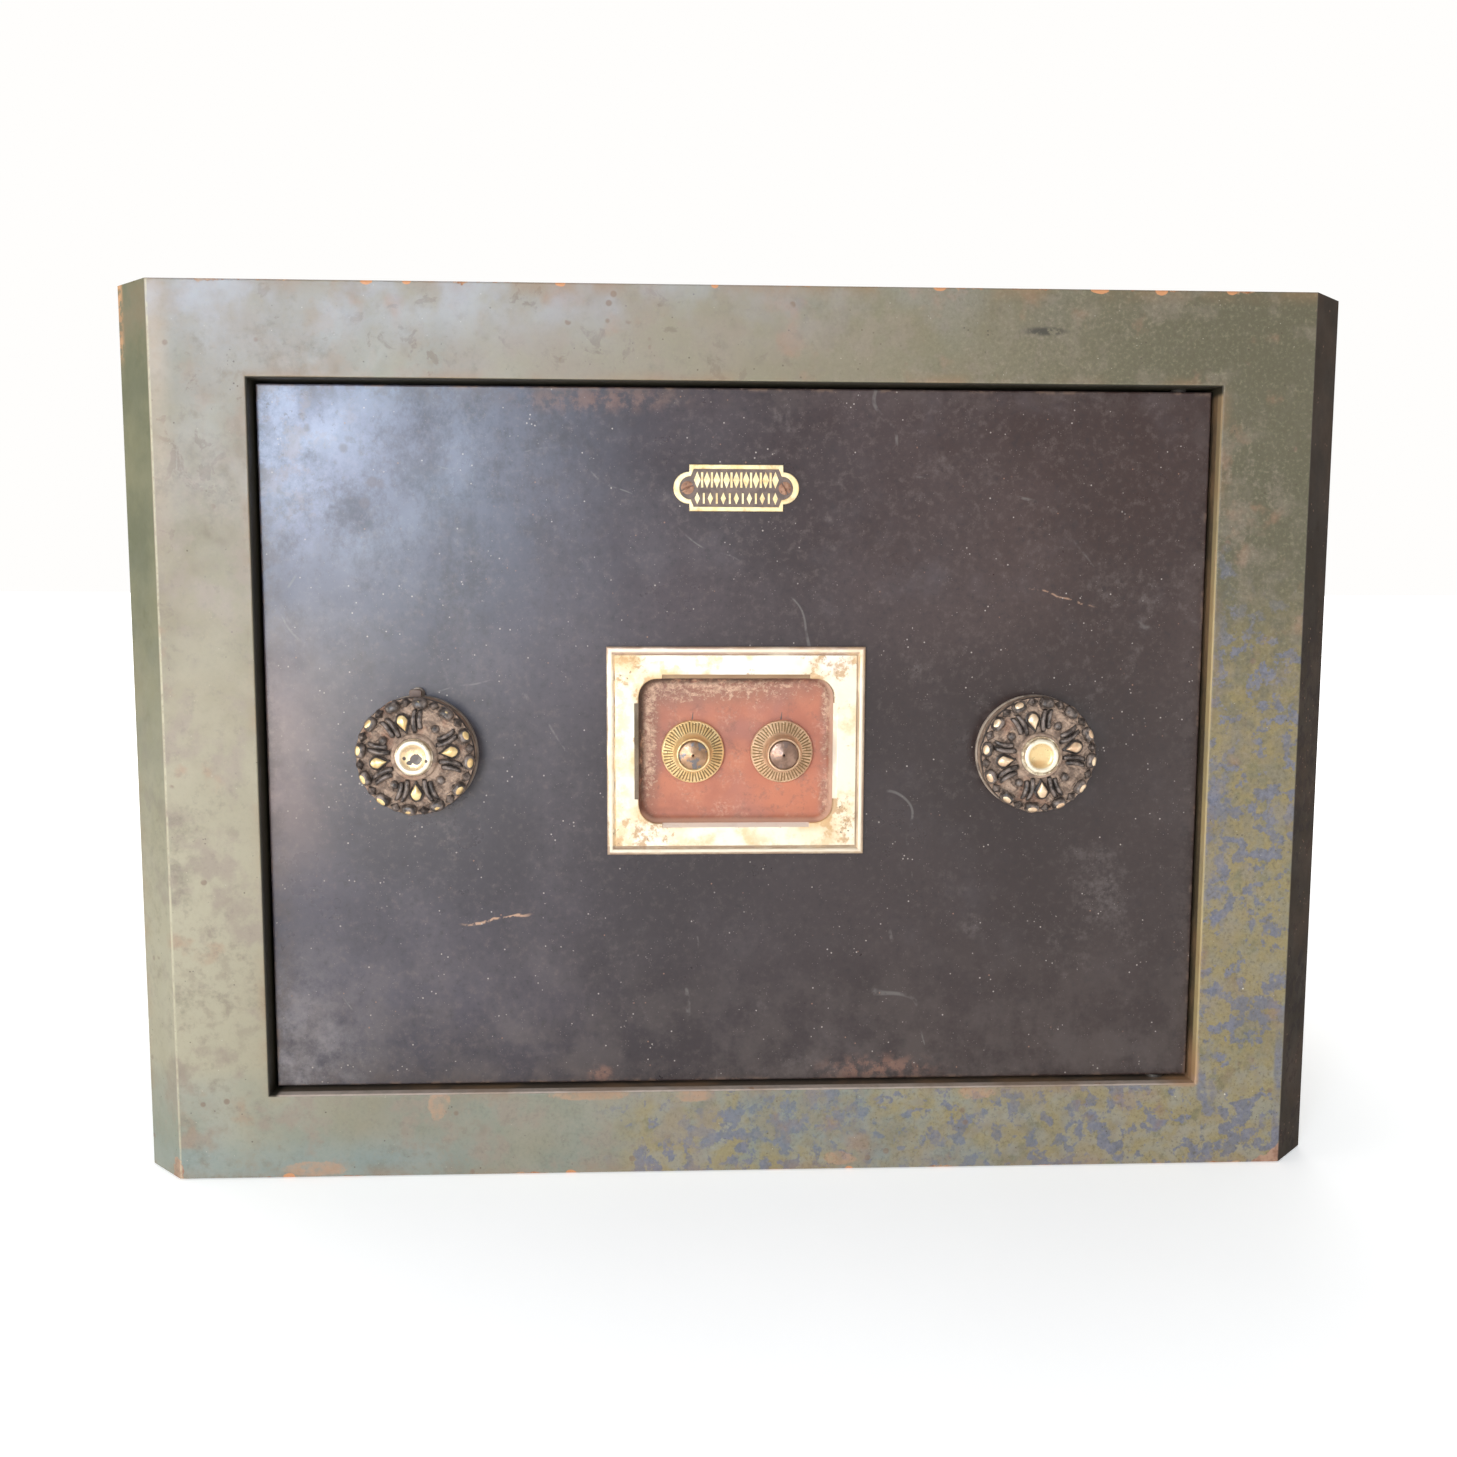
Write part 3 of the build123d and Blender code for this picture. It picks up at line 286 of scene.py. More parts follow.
def frame_paint():
    m = Mat("frame_paint", Specular_IOR_Level=0.38)
    low, high = OUT_LOW, OUT_HIGH
    left_arris, right_arris = low[0] + SLOPE, high[0] - SLOPE
    broad = m.noise(4.5, 3)
    mid = m.noise(28, 5, 0.6)
    fine = m.noise(190, 6, 0.7)
    grain = m.noise(480, 4, 0.75)
    olive = m.mix(m.span(broad, 0.35, 0.65), (0.215, 0.186, 0.122), (0.262, 0.224, 0.15))
    olive = m.mix(m.mul((mid, 0.35, 0.72), 0.8), olive, (0.235, 0.19, 0.122))
    green = m.blots(0.48, 0.66, 9, 4)
    olive = m.mix(m.mul(green, 0.6), olive, (0.165, 0.17, 0.105))
    # painted shade: the upper right of the frame darkened, away from the light from the left
    shaded_far_side = m.mul((m.x, -0.02, 0.26), (m.z, 0.12, 0.36))
    olive = m.mix(m.mul(shaded_far_side, 0.92), olive, (0.098, 0.088, 0.052))
    # painted light: the lower left of the frame lighter, toward the light
    lit_low_left = m.mul((m.x, -0.18, -0.3), (m.z, 0.36, 0.12))
    olive = m.mix(m.mul(lit_low_left, 0.85), olive, (0.365, 0.33, 0.235))
    # blue undercoat showing in patches low on the right and along the bottom
    right = m.mul((m.x, 0.235, 0.262), (m.z, 0.36, 0.22))
    bottom = m.mul((m.x, -0.11, -0.01), (m.z, 0.054, 0.036))
    zone = m.most(right, bottom)
    patch = m.noise(135, 6, 0.62, warp=0.15)
    where = m.blots(0.4, 0.6, 21, 3)
    level = m.add(patch, m.mul(where, 0.085))
    flakes = m.mul((level, 0.557, 0.622), (zone, 0.1, 0.7))
    ochre = m.mul((zone, 0.1, 0.9), m.blots(0.36, 0.6, 85, 4))
    # painted reflection: a pale bluish sheen over the upper left of the frame
    sky_reflection = m.mul((m.x, 0.1, -0.26), (m.z, 0.3, 0.46), (mid, 0.25, 0.7, 0.35, 1.0))
    m.colour = m.mix(m.mul(sky_reflection, 0.52), olive, (0.272, 0.276, 0.3))
    rail = m.span(m.z, 0.064, 0.046)
    pale = m.mul(rail, (m.x, -0.14, -0.02), (mid, 0.3, 0.6, 0.6, 1.0))
    m.coat((0.38, 0.34, 0.275), pale, 0.42)
    teal = m.mul(rail, (m.noise(13, 4), 0.3, 0.56, 0.25, 1.0), (m.x, 0.2, 0.02, 0.25, 1.0))
    m.coat(m.mix(m.blots(0.38, 0.62, 30, 5), (0.18, 0.212, 0.178), (0.255, 0.262, 0.222)), teal,
        0.72)
    m.coat((0.268, 0.204, 0.08), ochre, 0.74)
    cold = m.mul((m.z, 0.028, 0.01), (m.x, -0.1, -0.2), (mid, 0.3, 0.6, 0.5, 1.0))
    m.coat((0.205, 0.262, 0.262), cold, 0.55)
    moss = m.mul((zone, 0.1, 0.9), m.blots(0.54, 0.66, 66, 5, 0.65))
    m.coat((0.125, 0.125, 0.066), moss, 0.55)
    under = m.mix(m.span(fine, 0.4, 0.6), (0.1, 0.113, 0.178), (0.165, 0.168, 0.215))
    m.coat(under, flakes, (fine, 0.3, 0.6, 0.55, 0.95))
    haze = m.mul(bottom, m.blots(0.46, 0.6, 17, 4), (m.x, 0.22, 0.1), 0.35)
    m.coat((0.16, 0.195, 0.215), haze)
    lane = m.span(m.off(m.x, DOOR_HIGH[0] + 0.008), 0.0075, 0.0035)
    lane = m.mul(lane, (m.z, 0.36, 0.3), m.blots(0.5, 0.6, 58, 5, 0.65))
    arris = m.mul((m.off(m.x, right_arris - 0.0022), 0.003, 0.0012), (m.z, 0.085, 0.055),
        (mid, 0.35, 0.5))
    m.coat(under, m.most(lane, arris), (fine, 0.3, 0.6, 0.5, 0.9))
    # dirt, stains and light specks, and a painted bluish sheen along the top, strongest at the
    # left
    stain = m.mul(m.blots(0.56, 0.76, 60, 6, 0.7), 0.4)
    m.coat((0.11, 0.09, 0.065), stain)
    blush = m.mul(m.blots(0.6, 0.72, 33, 4, 0.6), (m.y, FACE + 0.005, FACE + 0.001), 0.5)
    m.coat((0.3, 0.165, 0.105), blush)
    m.coat((0.07, 0.05, 0.035), m.specks(330, 0.19, 0.4), 0.75)
    m.coat((0.6, 0.55, 0.45), m.specks(520, 0.17, 0.36), 0.6)
    weather = m.most((m.x, -0.05, 0.25), m.mul((m.z, 0.2, 0.04), (m.x, -0.2, 0.1, 0.2, 0.8)), 0.12)
    blotch = m.mul(m.blots(0.5, 0.66, 52, 5, 0.6), (m.x, 0.15, -0.2, 0.4, 1.0))
    m.coat((0.255, 0.205, 0.16), blotch, 0.8)
    upper_left = m.mul((m.x, 0.16, -0.1), (m.z, 0.22, 0.38))
    brown = m.mul(m.blots(0.6, 0.66, 82, 5, 0.62, warp=0.5), upper_left)
    m.coat((0.16, 0.116, 0.086), brown, 0.62)
    taupe = m.mul(m.blots(0.44, 0.6, 19, 6, 0.72), upper_left)
    m.coat((0.245, 0.2, 0.162), taupe, 0.5)
    peppered = m.mul((fine, 0.52, 0.7), (m.x, 0.2, -0.1, 0.2, 1.0))
    m.coat((0.17, 0.138, 0.108), peppered, 0.34)
    peach = m.mul((m.x, left_arris + 0.014, left_arris + 0.003), (m.z, 0.3, 0.4),
        (mid, 0.3, 0.6, 0.4, 1.0))
    m.coat((0.43, 0.325, 0.225), peach, 0.45)
    smears = [m.spot(x, z, half, tall, 1.1) for x, z, half, tall in RAIL_RUST]
    smears = m.span(m.add(m.most(*smears), m.mul(m.sub(m.noise(150, 6, 0.7), 0.5), 1.7)), 0.45,
        0.75)
    smears = m.mul(smears, (m.z, 0.07, 0.055))
    m.coat((0.42, 0.25, 0.155), smears, (fine, 0.36, 0.6, 0.2, 0.74))
    mottle = m.mul(m.blots(0.5, 0.64, 120, 6, 0.72), m.blots(0.42, 0.6, 16, 3))
    m.coat((0.2, 0.16, 0.12), mottle, 0.45)
    # painted sheen: bluish, along the top edge
    sheen = m.mul((m.z, 0.425, 0.465), m.blots(0.4, 0.62, 24, 4), (m.x, 0.25, -0.25))
    m.coat((0.36, 0.385, 0.45), sheen, 0.5)
    m.coat((0.185, 0.12, 0.085), m.specks(105, 0.22, 0.4), 0.7)
    m.coat((0.37, 0.32, 0.21), (grain, 0.5, 0.72), 0.28, (weather, 0.0, 1.0, 0.4, 1.0))
    m.coat((0.1, 0.082, 0.052), (grain, 0.5, 0.3), weather, 0.6)
    flecks = m.mul(m.specks(150, 0.085, 0.4), (m.x, 0.1, 0.22))
    m.coat((0.72, 0.66, 0.56), flecks, 0.9)
    worn_patch = m.mul(m.blots(0.52, 0.66, 14, 6, 0.72), (fine, 0.35, 0.6))
    m.coat((0.125, 0.11, 0.075), worn_patch, 0.35)
    # the inner faces of the opening: tan on the hinge side, chalky along the bottom, with painted
    # shadow on the latch side and top and deep in beside the door
    mouth = m.line_gap(DOOR_LOW, DOOR_HIGH)
    inside = m.mul((m.y, FACE + 0.00015, FACE + 0.0005), (mouth, 0.006, 0.004))
    latch_and_top_shadow = m.mul(inside, m.most((m.x, DOOR_LOW[0] + 0.004, DOOR_LOW[0] + 0.001),
        (m.z, DOOR_HIGH[2] - 0.004, DOOR_HIGH[2] - 0.001)))
    hinge_face = m.mul(inside, (m.x, DOOR_HIGH[0] - 0.004, DOOR_HIGH[0] - 0.001))
    hinge_tone = m.mix(m.span(m.z, 0.26, 0.41), (0.46, 0.345, 0.165), (0.235, 0.17, 0.088))
    m.coat(hinge_tone, hinge_face, (mid, 0.25, 0.6, 0.6, 1.0))
    sill = m.mul(inside, (m.z, DOOR_LOW[2] + 0.004, DOOR_LOW[2] + 0.001))
    m.coat((0.5, 0.405, 0.345), sill, (fine, 0.25, 0.6, 0.5, 1.0))
    # painted shadow deep in the hinge face and sill, next to the door
    deep_shadow = m.mul(m.most(hinge_face, sill), (m.y, FACE + 0.005, FACE + 0.0068),
        (fine, 0.2, 0.5, 0.8, 1.0))
    m.coat((0.055, 0.038, 0.024), deep_shadow, 0.92)
    # rust and bare metal along the edges, a painted highlight on the left ridge and painted shadow
    # in the opening
    line = m.least(m.line_gap(low, high), mouth)
    ragged = m.add(line, m.mul(m.noise(75, 6, 0.7), -0.0125))
    chip = m.mul((ragged, -0.0062, -0.007), m.blots(0.48, 0.53, 11, 2))
    warm = m.mul((line, 0.009, 0.0), (mid, 0.42, 0.65), 0.5)
    m.coat((0.27, 0.155, 0.08), warm)
    glow = m.mul(m.spot(DOOR_HIGH[0] + 0.001, DOOR_LOW[2] - 0.001, 0.014, 0.02, 1.2),
        (mouth, 0.0042, 0.0018))
    m.coat((0.42, 0.235, 0.12), glow, 0.7)
    rust = m.mix(m.span(fine, 0.4, 0.6), RUST, TAN)
    rough_line = m.mul(m.sub(m.noise(300, 4), 0.5), 1.6)
    run = m.ratio(m.sub(right_arris + 0.0005, m.x), 0.0155)
    climb = m.ratio(m.sub(m.z, low[2]), 0.01)
    corner = m.add(m.add(run, climb), m.mul(rough_line, 0.45))
    corner = m.mul((corner, 1.03, 0.95), (m.x, right_arris + 0.002, right_arris + 0.0008))
    corner2 = m.add(m.spot(left_arris - 0.002, low[2] + 0.003, 0.0035, 0.0085, 1.0), rough_line)
    corner2 = m.span(corner2, 0.46, 0.54)
    chips = [m.spot(x, high[2] - 0.0004, half, tall, 1.0) for x, half, tall in TOP_CHIPS]
    chips += [m.spot(x, low[2] + 0.0004, half, tall, 1.0) for x, half, tall in BOTTOM_CHIPS]
    nicks = m.span(m.add(m.most(*chips), m.mul(rough_line, 0.5)), 0.52, 0.6)
    nicks = m.mul(nicks, (m.most(*chips), 0.02, 0.1))
    depth = m.add(m.y, m.mul(rough_line, 0.003))
    by_front = m.most((depth, low[1] + 0.0045, low[1] + 0.002),
        (m.size(m.x), right_arris + 0.0005, right_arris + 0.0025))
    nicks, chip, corner, corner2 = [m.mul(mask, by_front) for mask in (nicks, chip, corner,
        corner2)]
    scuff = m.mul(m.spot(0.156, 0.4465, 0.01, 0.002, 1.0), (fine, 0.38, 0.5))
    m.coat((0.05, 0.045, 0.035), scuff, 0.9)
    worn = m.mul(m.edge(0.0012), m.blots(0.4, 0.55, 120, 5, 0.7))
    m.coat((0.36, 0.31, 0.21), worn, 0.8)
    m.coat(rust, chip)
    bare = m.mix(m.span(fine, 0.35, 0.6), (0.25, 0.125, 0.08), (0.41, 0.245, 0.165))
    m.coat((0.52, 0.235, 0.105), nicks)
    m.coat(bare, m.most(corner, corner2))
    # painted highlight: a pale line along the left arris
    ridge = m.span(m.off(m.x, left_arris + 0.0002), 0.0009, 0.0002)
    m.coat((0.5, 0.46, 0.32), ridge, (fine, 0.3, 0.6, 0.0, 0.6))
    # painted shadow: the latch-side and top inner faces of the opening near black
    m.coat((0.02, 0.018, 0.011), latch_and_top_shadow, 0.96)
    # the slope on the hinge side is coloured a near-black brown, with lighter specks
    slope = m.span(m.x, right_arris - 0.0005, right_arris + 0.001)
    hinge_slope_dark = m.mix(m.span(mid, 0.4, 0.7), (0.018, 0.009, 0.004), (0.036, 0.019, 0.01))
    hinge_slope_dark = m.mix(m.mul(m.specks(300, 0.2, 0.45), 0.6), hinge_slope_dark, (0.22, 0.12, 0.08))
    m.coat(hinge_slope_dark, slope, 0.96)
    # the left slope in a darker olive, its own colour, with painted shade darkening it further
    # towards the top
    left_slope_shade = m.mul((m.x, left_arris - 0.0002, left_arris - 0.0012), (m.z, 0.1, 0.34, 0.35, 1.0))
    slope_tone = m.mix(m.span(mid, 0.35, 0.65), (0.064, 0.07, 0.026), (0.112, 0.11, 0.05))
    m.coat(slope_tone, left_slope_shade, 0.95)
    rubbed = m.mul((m.x, low[0] + 0.005, low[0] + 0.0015), (m.z, 0.425, 0.44),
        m.blots(0.42, 0.54, 160, 5, 0.7))
    m.coat((0.5, 0.25, 0.11), rubbed, 0.85)
    dusky = m.mul(left_slope_shade, (m.z, 0.405, 0.445), (mid, 0.4, 0.62))
    m.coat((0.13, 0.088, 0.045), dusky, 0.55)
    gloss = m.add(m.span(m.noise(40, 5, 0.65), 0.3, 0.7, 0.34, 0.48), m.mul(flakes, 0.12))
    gloss = m.add(gloss, m.mul(slope, 0.5))
    height = m.add(m.mul(fine, 0.35), m.mul(grain, 0.25))
    height = m.sub(height, m.add(m.mul(flakes, 0.5), m.mul(chip, 1.2)))
    m.done(m.add(gloss, m.mul(m.most(chip, stain), 0.35), clamp=True), height, 0.0002, 0.5)


def door_paint():
    m = Mat("door_paint")
    broad = m.noise(7, 4, 0.6)
    mid = m.noise(38, 5, 0.65)
    fine = m.noise(260, 5, 0.7)
    across = m.span(m.x, -0.25, 0.2)
    dark = m.mix(across, (0.032, 0.027, 0.036), (0.04, 0.021, 0.018))
    grey = m.mix(across, (0.066, 0.057, 0.074), (0.067, 0.04, 0.035))
    m.colour = m.mix(m.span(broad, 0.38, 0.7), dark, grey)
    cloud = m.mul(m.blots(0.47, 0.68, 13, 6, 0.7), (mid, 0.3, 0.7))
    m.coat((0.112, 0.092, 0.1), cloud, 0.42)
    m.coat((0.145, 0.112, 0.1), (fine, 0.5, 0.75), 0.42)
    m.coat((0.02, 0.016, 0.018), (fine, 0.48, 0.25), 0.55)
    # painted shade: darker towards the lower right of the door, away from the light
    deep = m.mul((m.x, -0.19, 0.05), (m.z, 0.37, 0.2))
    m.coat((0.017, 0.009, 0.008), deep, 0.56)
    # painted reflection: a pale bluish glare over the upper left of the door
    film = m.mul((m.x, -0.02, -0.27), (m.z, 0.23, 0.41),
        (m.noise(42, 6, 0.78, at=m.stretched((1.0, 1.0, 0.75))), 0.34, 0.58, 0.15, 1.1))
    m.coat((0.27, 0.285, 0.385), film, 0.52)
    nook = m.mul((m.x, -0.16, -0.24), (m.z, 0.31, 0.385))
    # painted reflection: brighter bluish glare in the top left corner
    corner_glare = m.mul(nook, m.blots(0.42, 0.6, 34, 6, 0.74))
    m.coat((0.45, 0.49, 0.66), corner_glare, 0.34)
    flaked = m.mul(nook, m.blots(0.52, 0.59, 31, 6, 0.76,
        at=m.stretched((1, 1, 1), (4.0, 0, 2.0))))
    m.coat((0.225, 0.18, 0.178), flaked, 0.62)
    pocks = m.mul(nook, m.blots(0.595, 0.65, 150, 5, 0.75))
    m.coat((0.11, 0.082, 0.085), pocks, 0.75)
    # painted light: a warm pale patch along the left edge of the door
    sun = m.mul((m.x, -0.205, -0.262), (m.off(m.z, 0.225), 0.085, 0.02),
        (mid, 0.25, 0.6, 0.4, 1.0))
    m.coat((0.42, 0.29, 0.26), sun, 0.5)
    scuffed = m.mul((m.x, -0.17, -0.26), (m.z, 0.15, 0.05), m.blots(0.28, 0.7, 45, 6, 0.75))
    m.coat((0.33, 0.29, 0.285), scuffed, 0.88)
    islands = m.mul(m.specks(95, 0.34, 0.45), (m.x, -0.1, -0.22), (m.z, 0.3, 0.38))
    m.coat((0.105, 0.078, 0.08), islands, 0.7)
    outline = m.line_gap(DOOR_LOW, DOOR_HIGH)
    grubby = m.mul((outline, 0.016, 0.0), m.blots(0.42, 0.6, 95, 6, 0.75))
    m.coat((0.078, 0.055, 0.049), grubby, 0.62)
    grime = m.mul((m.z, DOOR_LOW[2] + 0.1, DOOR_LOW[2]), (mid, 0.4, 0.62))
    m.coat((0.135, 0.105, 0.09), grime, 0.3)
    patch = m.spot(0.076, DOOR_LOW[2] + 0.006, 0.026, 0.006, 1.5)
    patch2 = m.spot(-0.075, DOOR_LOW[2] + 0.005, 0.006, 0.004, 1.2)
    patch3 = m.spot(-0.075, DOOR_HIGH[2] - 0.006, 0.035, 0.006, 1.6)
    rusty = m.mul(m.most(patch, patch2, m.mul(patch3, 0.6)), m.blots(0.42, 0.6, 130, 5, 0.7))
    m.coat((0.25, 0.125, 0.085), rusty, 0.7)
    # pale scratches
    lines = m.sub(m.z, m.add(0.1385, m.mul(m.add(m.x, 0.125), 0.16)))
    wobble = m.mul(m.sub(m.noise(70, 3), 0.5), 0.006)
    near = m.span(m.size(m.add(lines, wobble)), 0.0009, 0.0003)
    near = m.mul(near, m.blots(0.4, 0.5, 190, 4))
    scratch = m.mul(near, m.spot(-0.131, 0.1385, 0.018, 0.006, 0.5), (mid, 0.36, 0.48))
    near2 = m.span(m.size(m.add(m.sub(m.z, 0.311), m.add(wobble, m.mul(m.sub(m.x, 0.168), 0.28)))),
        0.0007, 0.0002)
    scratch2 = m.mul(near2, m.spot(0.172, 0.311, 0.02, 0.008, 0.5), (fine, 0.42, 0.52))
    hair = m.node("ShaderNodeTexWave", wave_type="BANDS", bands_direction="DIAGONAL")
    m.put(hair.inputs["Vector"], m.at)
    m.tune(hair, Scale=3.1, Distortion=9.0, Detail=3.0, Detail_Scale=1.4)
    thin = m.mul((hair.outputs["Fac"], 0.9994, 1.0), (mid, 0.52, 0.62), 0.35)
    m.coat((0.24, 0.22, 0.2), thin)
    m.coat((0.34, 0.2, 0.13), scratch2, 0.8)
    m.coat((0.5, 0.3, 0.19), scratch, 0.9)
    m.coat((0.42, 0.36, 0.32), m.specks(300, 0.16, 0.42), 0.85)
    m.coat((0.27, 0.22, 0.195), m.specks(620, 0.17, 0.46), 0.55)
    smudge = m.mul(m.blots(0.56, 0.7, 18, 6, 0.75), (fine, 0.35, 0.65))
    m.coat((0.22, 0.185, 0.17), smudge, 0.22)
    m.coat((0.28, 0.15, 0.1), m.specks(240, 0.13, 0.38), 0.8)
    rim = m.mul((outline, 0.003, 0.0), m.blots(0.5, 0.62, 90, 5, 0.7))
    m.coat((0.22, 0.14, 0.1), rim, 0.7)
    gloss = m.span(m.noise(24, 5, 0.6), 0.3, 0.7, 0.27, 0.37)
    m.done(m.add(gloss, m.mul(grime, 0.12), clamp=True),
        m.add(m.mul(fine, 0.35), m.mul(m.noise(60, 4), 0.9)), 0.00022, 0.5)


def plain_paint(name, base, dark, rough, scale=60.0):
    """Workshop paint with grime, wear on the edges and a brushed unevenness."""
    m = Mat(name)
    mid = m.noise(scale * 3, 6, 0.72)
    runs = m.noise(scale * 1.5, 5, 0.66, at=m.stretched((1.0, 1.0, 0.1)))
    m.colour = m.mix(m.mul((mid, 0.35, 0.7), 0.55), base, dark)
    m.coat(scaled(base, 0.62), (runs, 0.45, 0.72), 0.4)
    m.coat(scaled(base, 1.35), m.blots(0.42, 0.68, scale / 8, 4, 0.6), 0.22)
    m.coat(scaled(base, 1.8), m.blots(0.56, 0.7, 500, 4, 0.75), 0.3)
    worn = m.mul(m.edge(0.0012), m.blots(0.38, 0.55, 150, 5, 0.7))
    m.coat((0.23, 0.16, 0.11), worn)
    m.coat(RUST, m.specks(200, 0.25, 0.5), 0.6)
    m.done(m.span(mid, 0.3, 0.7, rough - 0.08, rough + 0.1), m.noise(260, 4, 0.6), 0.00025, 0.5)


def steel(name, base, dark, rough, rust=0.35):
    m = Mat(name, metal=1.0)
    lines = m.noise(500, 4, 0.6)
    mid = m.noise(45, 5, 0.6)
    m.colour = m.mix(m.span(mid, 0.35, 0.7), base, dark)
    m.coat(scaled(base, 1.5), (lines, 0.4, 0.7), 0.3)
    spots = m.mul(m.blots(0.66 - 0.2 * rust, 0.78 - 0.2 * rust, 110, 6, 0.7), 0.8)
    m.coat(RUST, spots)
    m.set("Metallic", m.flip(m.mul(spots, 0.9)))
    m.done(m.add(m.span(lines, 0.3, 0.7, rough - 0.07, rough + 0.1), m.mul(spots, 0.35),
        clamp=True), lines, 0.00012, 0.4)


def mineral():
    m = Mat("mineral_fill")
    grains = m.noise(420, 6, 0.7)
    m.colour = m.mix(m.span(grains, 0.35, 0.7), (0.5, 0.46, 0.38), (0.66, 0.62, 0.54))
    m.coat((0.28, 0.25, 0.21), m.specks(300, 0.35, 0.5))
    m.done(0.95, grains, 0.0008, 0.8)


def escutcheon_metal():
    m = Mat("bright_escutcheon", metal=0.35)
    mid = m.noise(55, 5, 0.62)
    fine = m.noise(330, 6, 0.7)
    low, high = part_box("escutcheon_frame")
    cream = m.mix(m.span(m.x, ESC[0] - 0.06, ESC[0] + 0.07), (0.93, 0.84, 0.66),
        (0.94, 0.83, 0.62))
    white = m.mul((m.z, ESC[2] + 0.01, ESC[2] + 0.045), m.blots(0.35, 0.6, 40, 3))
    cream = m.mix(m.mul(white, 0.8), cream, (0.96, 0.93, 0.88))
    m.colour = m.mix(m.span(mid, 0.5, 0.66), cream, (0.8, 0.6, 0.36))
    inner = m.line_gap(low, high)
    gap = m.box_gap(*OPENING)
    mouth = m.size(gap)
    groove = m.span(m.off(inner, 0.0042), 0.0006, 0.0002)
    corner = m.most(m.spot(high[0] - 0.016, high[2] - 0.008, 0.02, 0.01, 0.9),
        m.spot(high[0] - 0.013, low[2] + 0.02, 0.012, 0.016, 0.9),
        m.spot(low[0] + 0.012, low[2] + 0.01, 0.02, 0.012, 0.9),
        m.spot(low[0] + 0.013, high[2] - 0.013, 0.01, 0.01, 0.9))
    edge_dirt = m.mul((mouth, 0.004, 0.0005), 0.14)
    level = m.add(m.add(edge_dirt, m.mul(corner, 0.15)), m.noise(150, 6, 0.72))
    freckle = m.span(level, 0.625, 0.75)
    pits = m.span(m.add(m.noise(420, 4, 0.7), m.mul(corner, 0.09)), 0.72, 0.78)
    m.coat((0.5, 0.27, 0.12), freckle, 0.75)
    m.coat((0.22, 0.135, 0.075), groove, (mid, 0.3, 0.5, 0.4, 0.95))
    m.coat((0.13, 0.07, 0.04), pits)
    tan = m.mul(m.most((m.x, low[0] + 0.02, low[0] + 0.004),
        (m.z, low[2] + 0.016, low[2] + 0.004)), m.blots(0.44, 0.62, 70, 6, 0.72))
    m.coat((0.76, 0.52, 0.28), tan, 0.8)
    shade = m.most((m.x, high[0] - 0.0052, high[0] - 0.0044),
        (m.z, low[2] + 0.0052, low[2] + 0.0044))
    m.coat((0.41, 0.285, 0.19), shade, (mid, 0.3, 0.6, 0.6, 1.0))
    # painted shadow: a pinkish-brown band along the top of the bead
    top_bead_shadow = m.span(m.z, high[2] - 0.0046, high[2] - 0.0036)
    m.coat((0.5, 0.335, 0.265), top_bead_shadow, (mid, 0.3, 0.6, 0.55, 0.95))
    outline = m.mul((m.off(inner, 0.0004), 0.0009, 0.0002), (mid, 0.35, 0.6, 0.3, 0.9))
    m.coat((0.36, 0.235, 0.165), outline)
    bead = m.span(m.off(inner, 0.0022), 0.0011, 0.0004)
    m.coat((0.93, 0.82, 0.64), bead, (mid, 0.3, 0.6, 0.55, 0.9))
    lip = m.mul((mouth, 0.0008, 0.0002), (fine, 0.3, 0.55, 0.4, 1.0))
    m.coat((0.24, 0.145, 0.085), lip)
    cloudy = m.mul(m.blots(0.46, 0.66, 24, 5), m.most(m.mul(corner, 0.8), (mouth, 0.008, 0.001),
        0.25))
    m.coat((0.74, 0.49, 0.25), cloudy, 0.85)
    # painted light and shade on the opening's chamfer: grey-brown on the left, tan on the top,
    # pinkish white on the bottom, cream on the right
    sloped = m.span(m.off(gap, 0.0011), 0.00125, 0.001)
    dx, dz = m.sub(m.x, ESC[0]), m.sub(m.z, ESC[2])
    in_x = m.span(m.size(dx), 0.0394, 0.0391)
    in_z = m.span(m.size(dz), 0.0258, 0.0255)
    left_chamfer_shade = m.mix(m.span(mid, 0.3, 0.6), (0.2, 0.165, 0.12), (0.34, 0.28, 0.21))
    tone = m.mix(m.span(dx, -0.045, -0.035), left_chamfer_shade, (0.9, 0.8, 0.64))
    tone = m.mix(m.mul(in_x, (dz, 0.0, 0.01)), tone, m.mix(mid, (0.3, 0.195, 0.115),
        (0.56, 0.4, 0.25)))
    tone = m.mix(m.mul(in_x, (dz, 0.0, -0.01)), tone, (0.8, 0.66, 0.56))
    m.coat(tone, sloped, m.most(in_x, in_z))
    height = m.sub(m.add(m.mul(fine, 0.5), m.mul(mid, 2.5)), m.mul(m.most(freckle, pits), 0.8))
    m.done(m.add(m.span(mid, 0.3, 0.7, 0.34, 0.52), m.mul(freckle, 0.3), clamp=True), height,
        0.00025, 0.6)


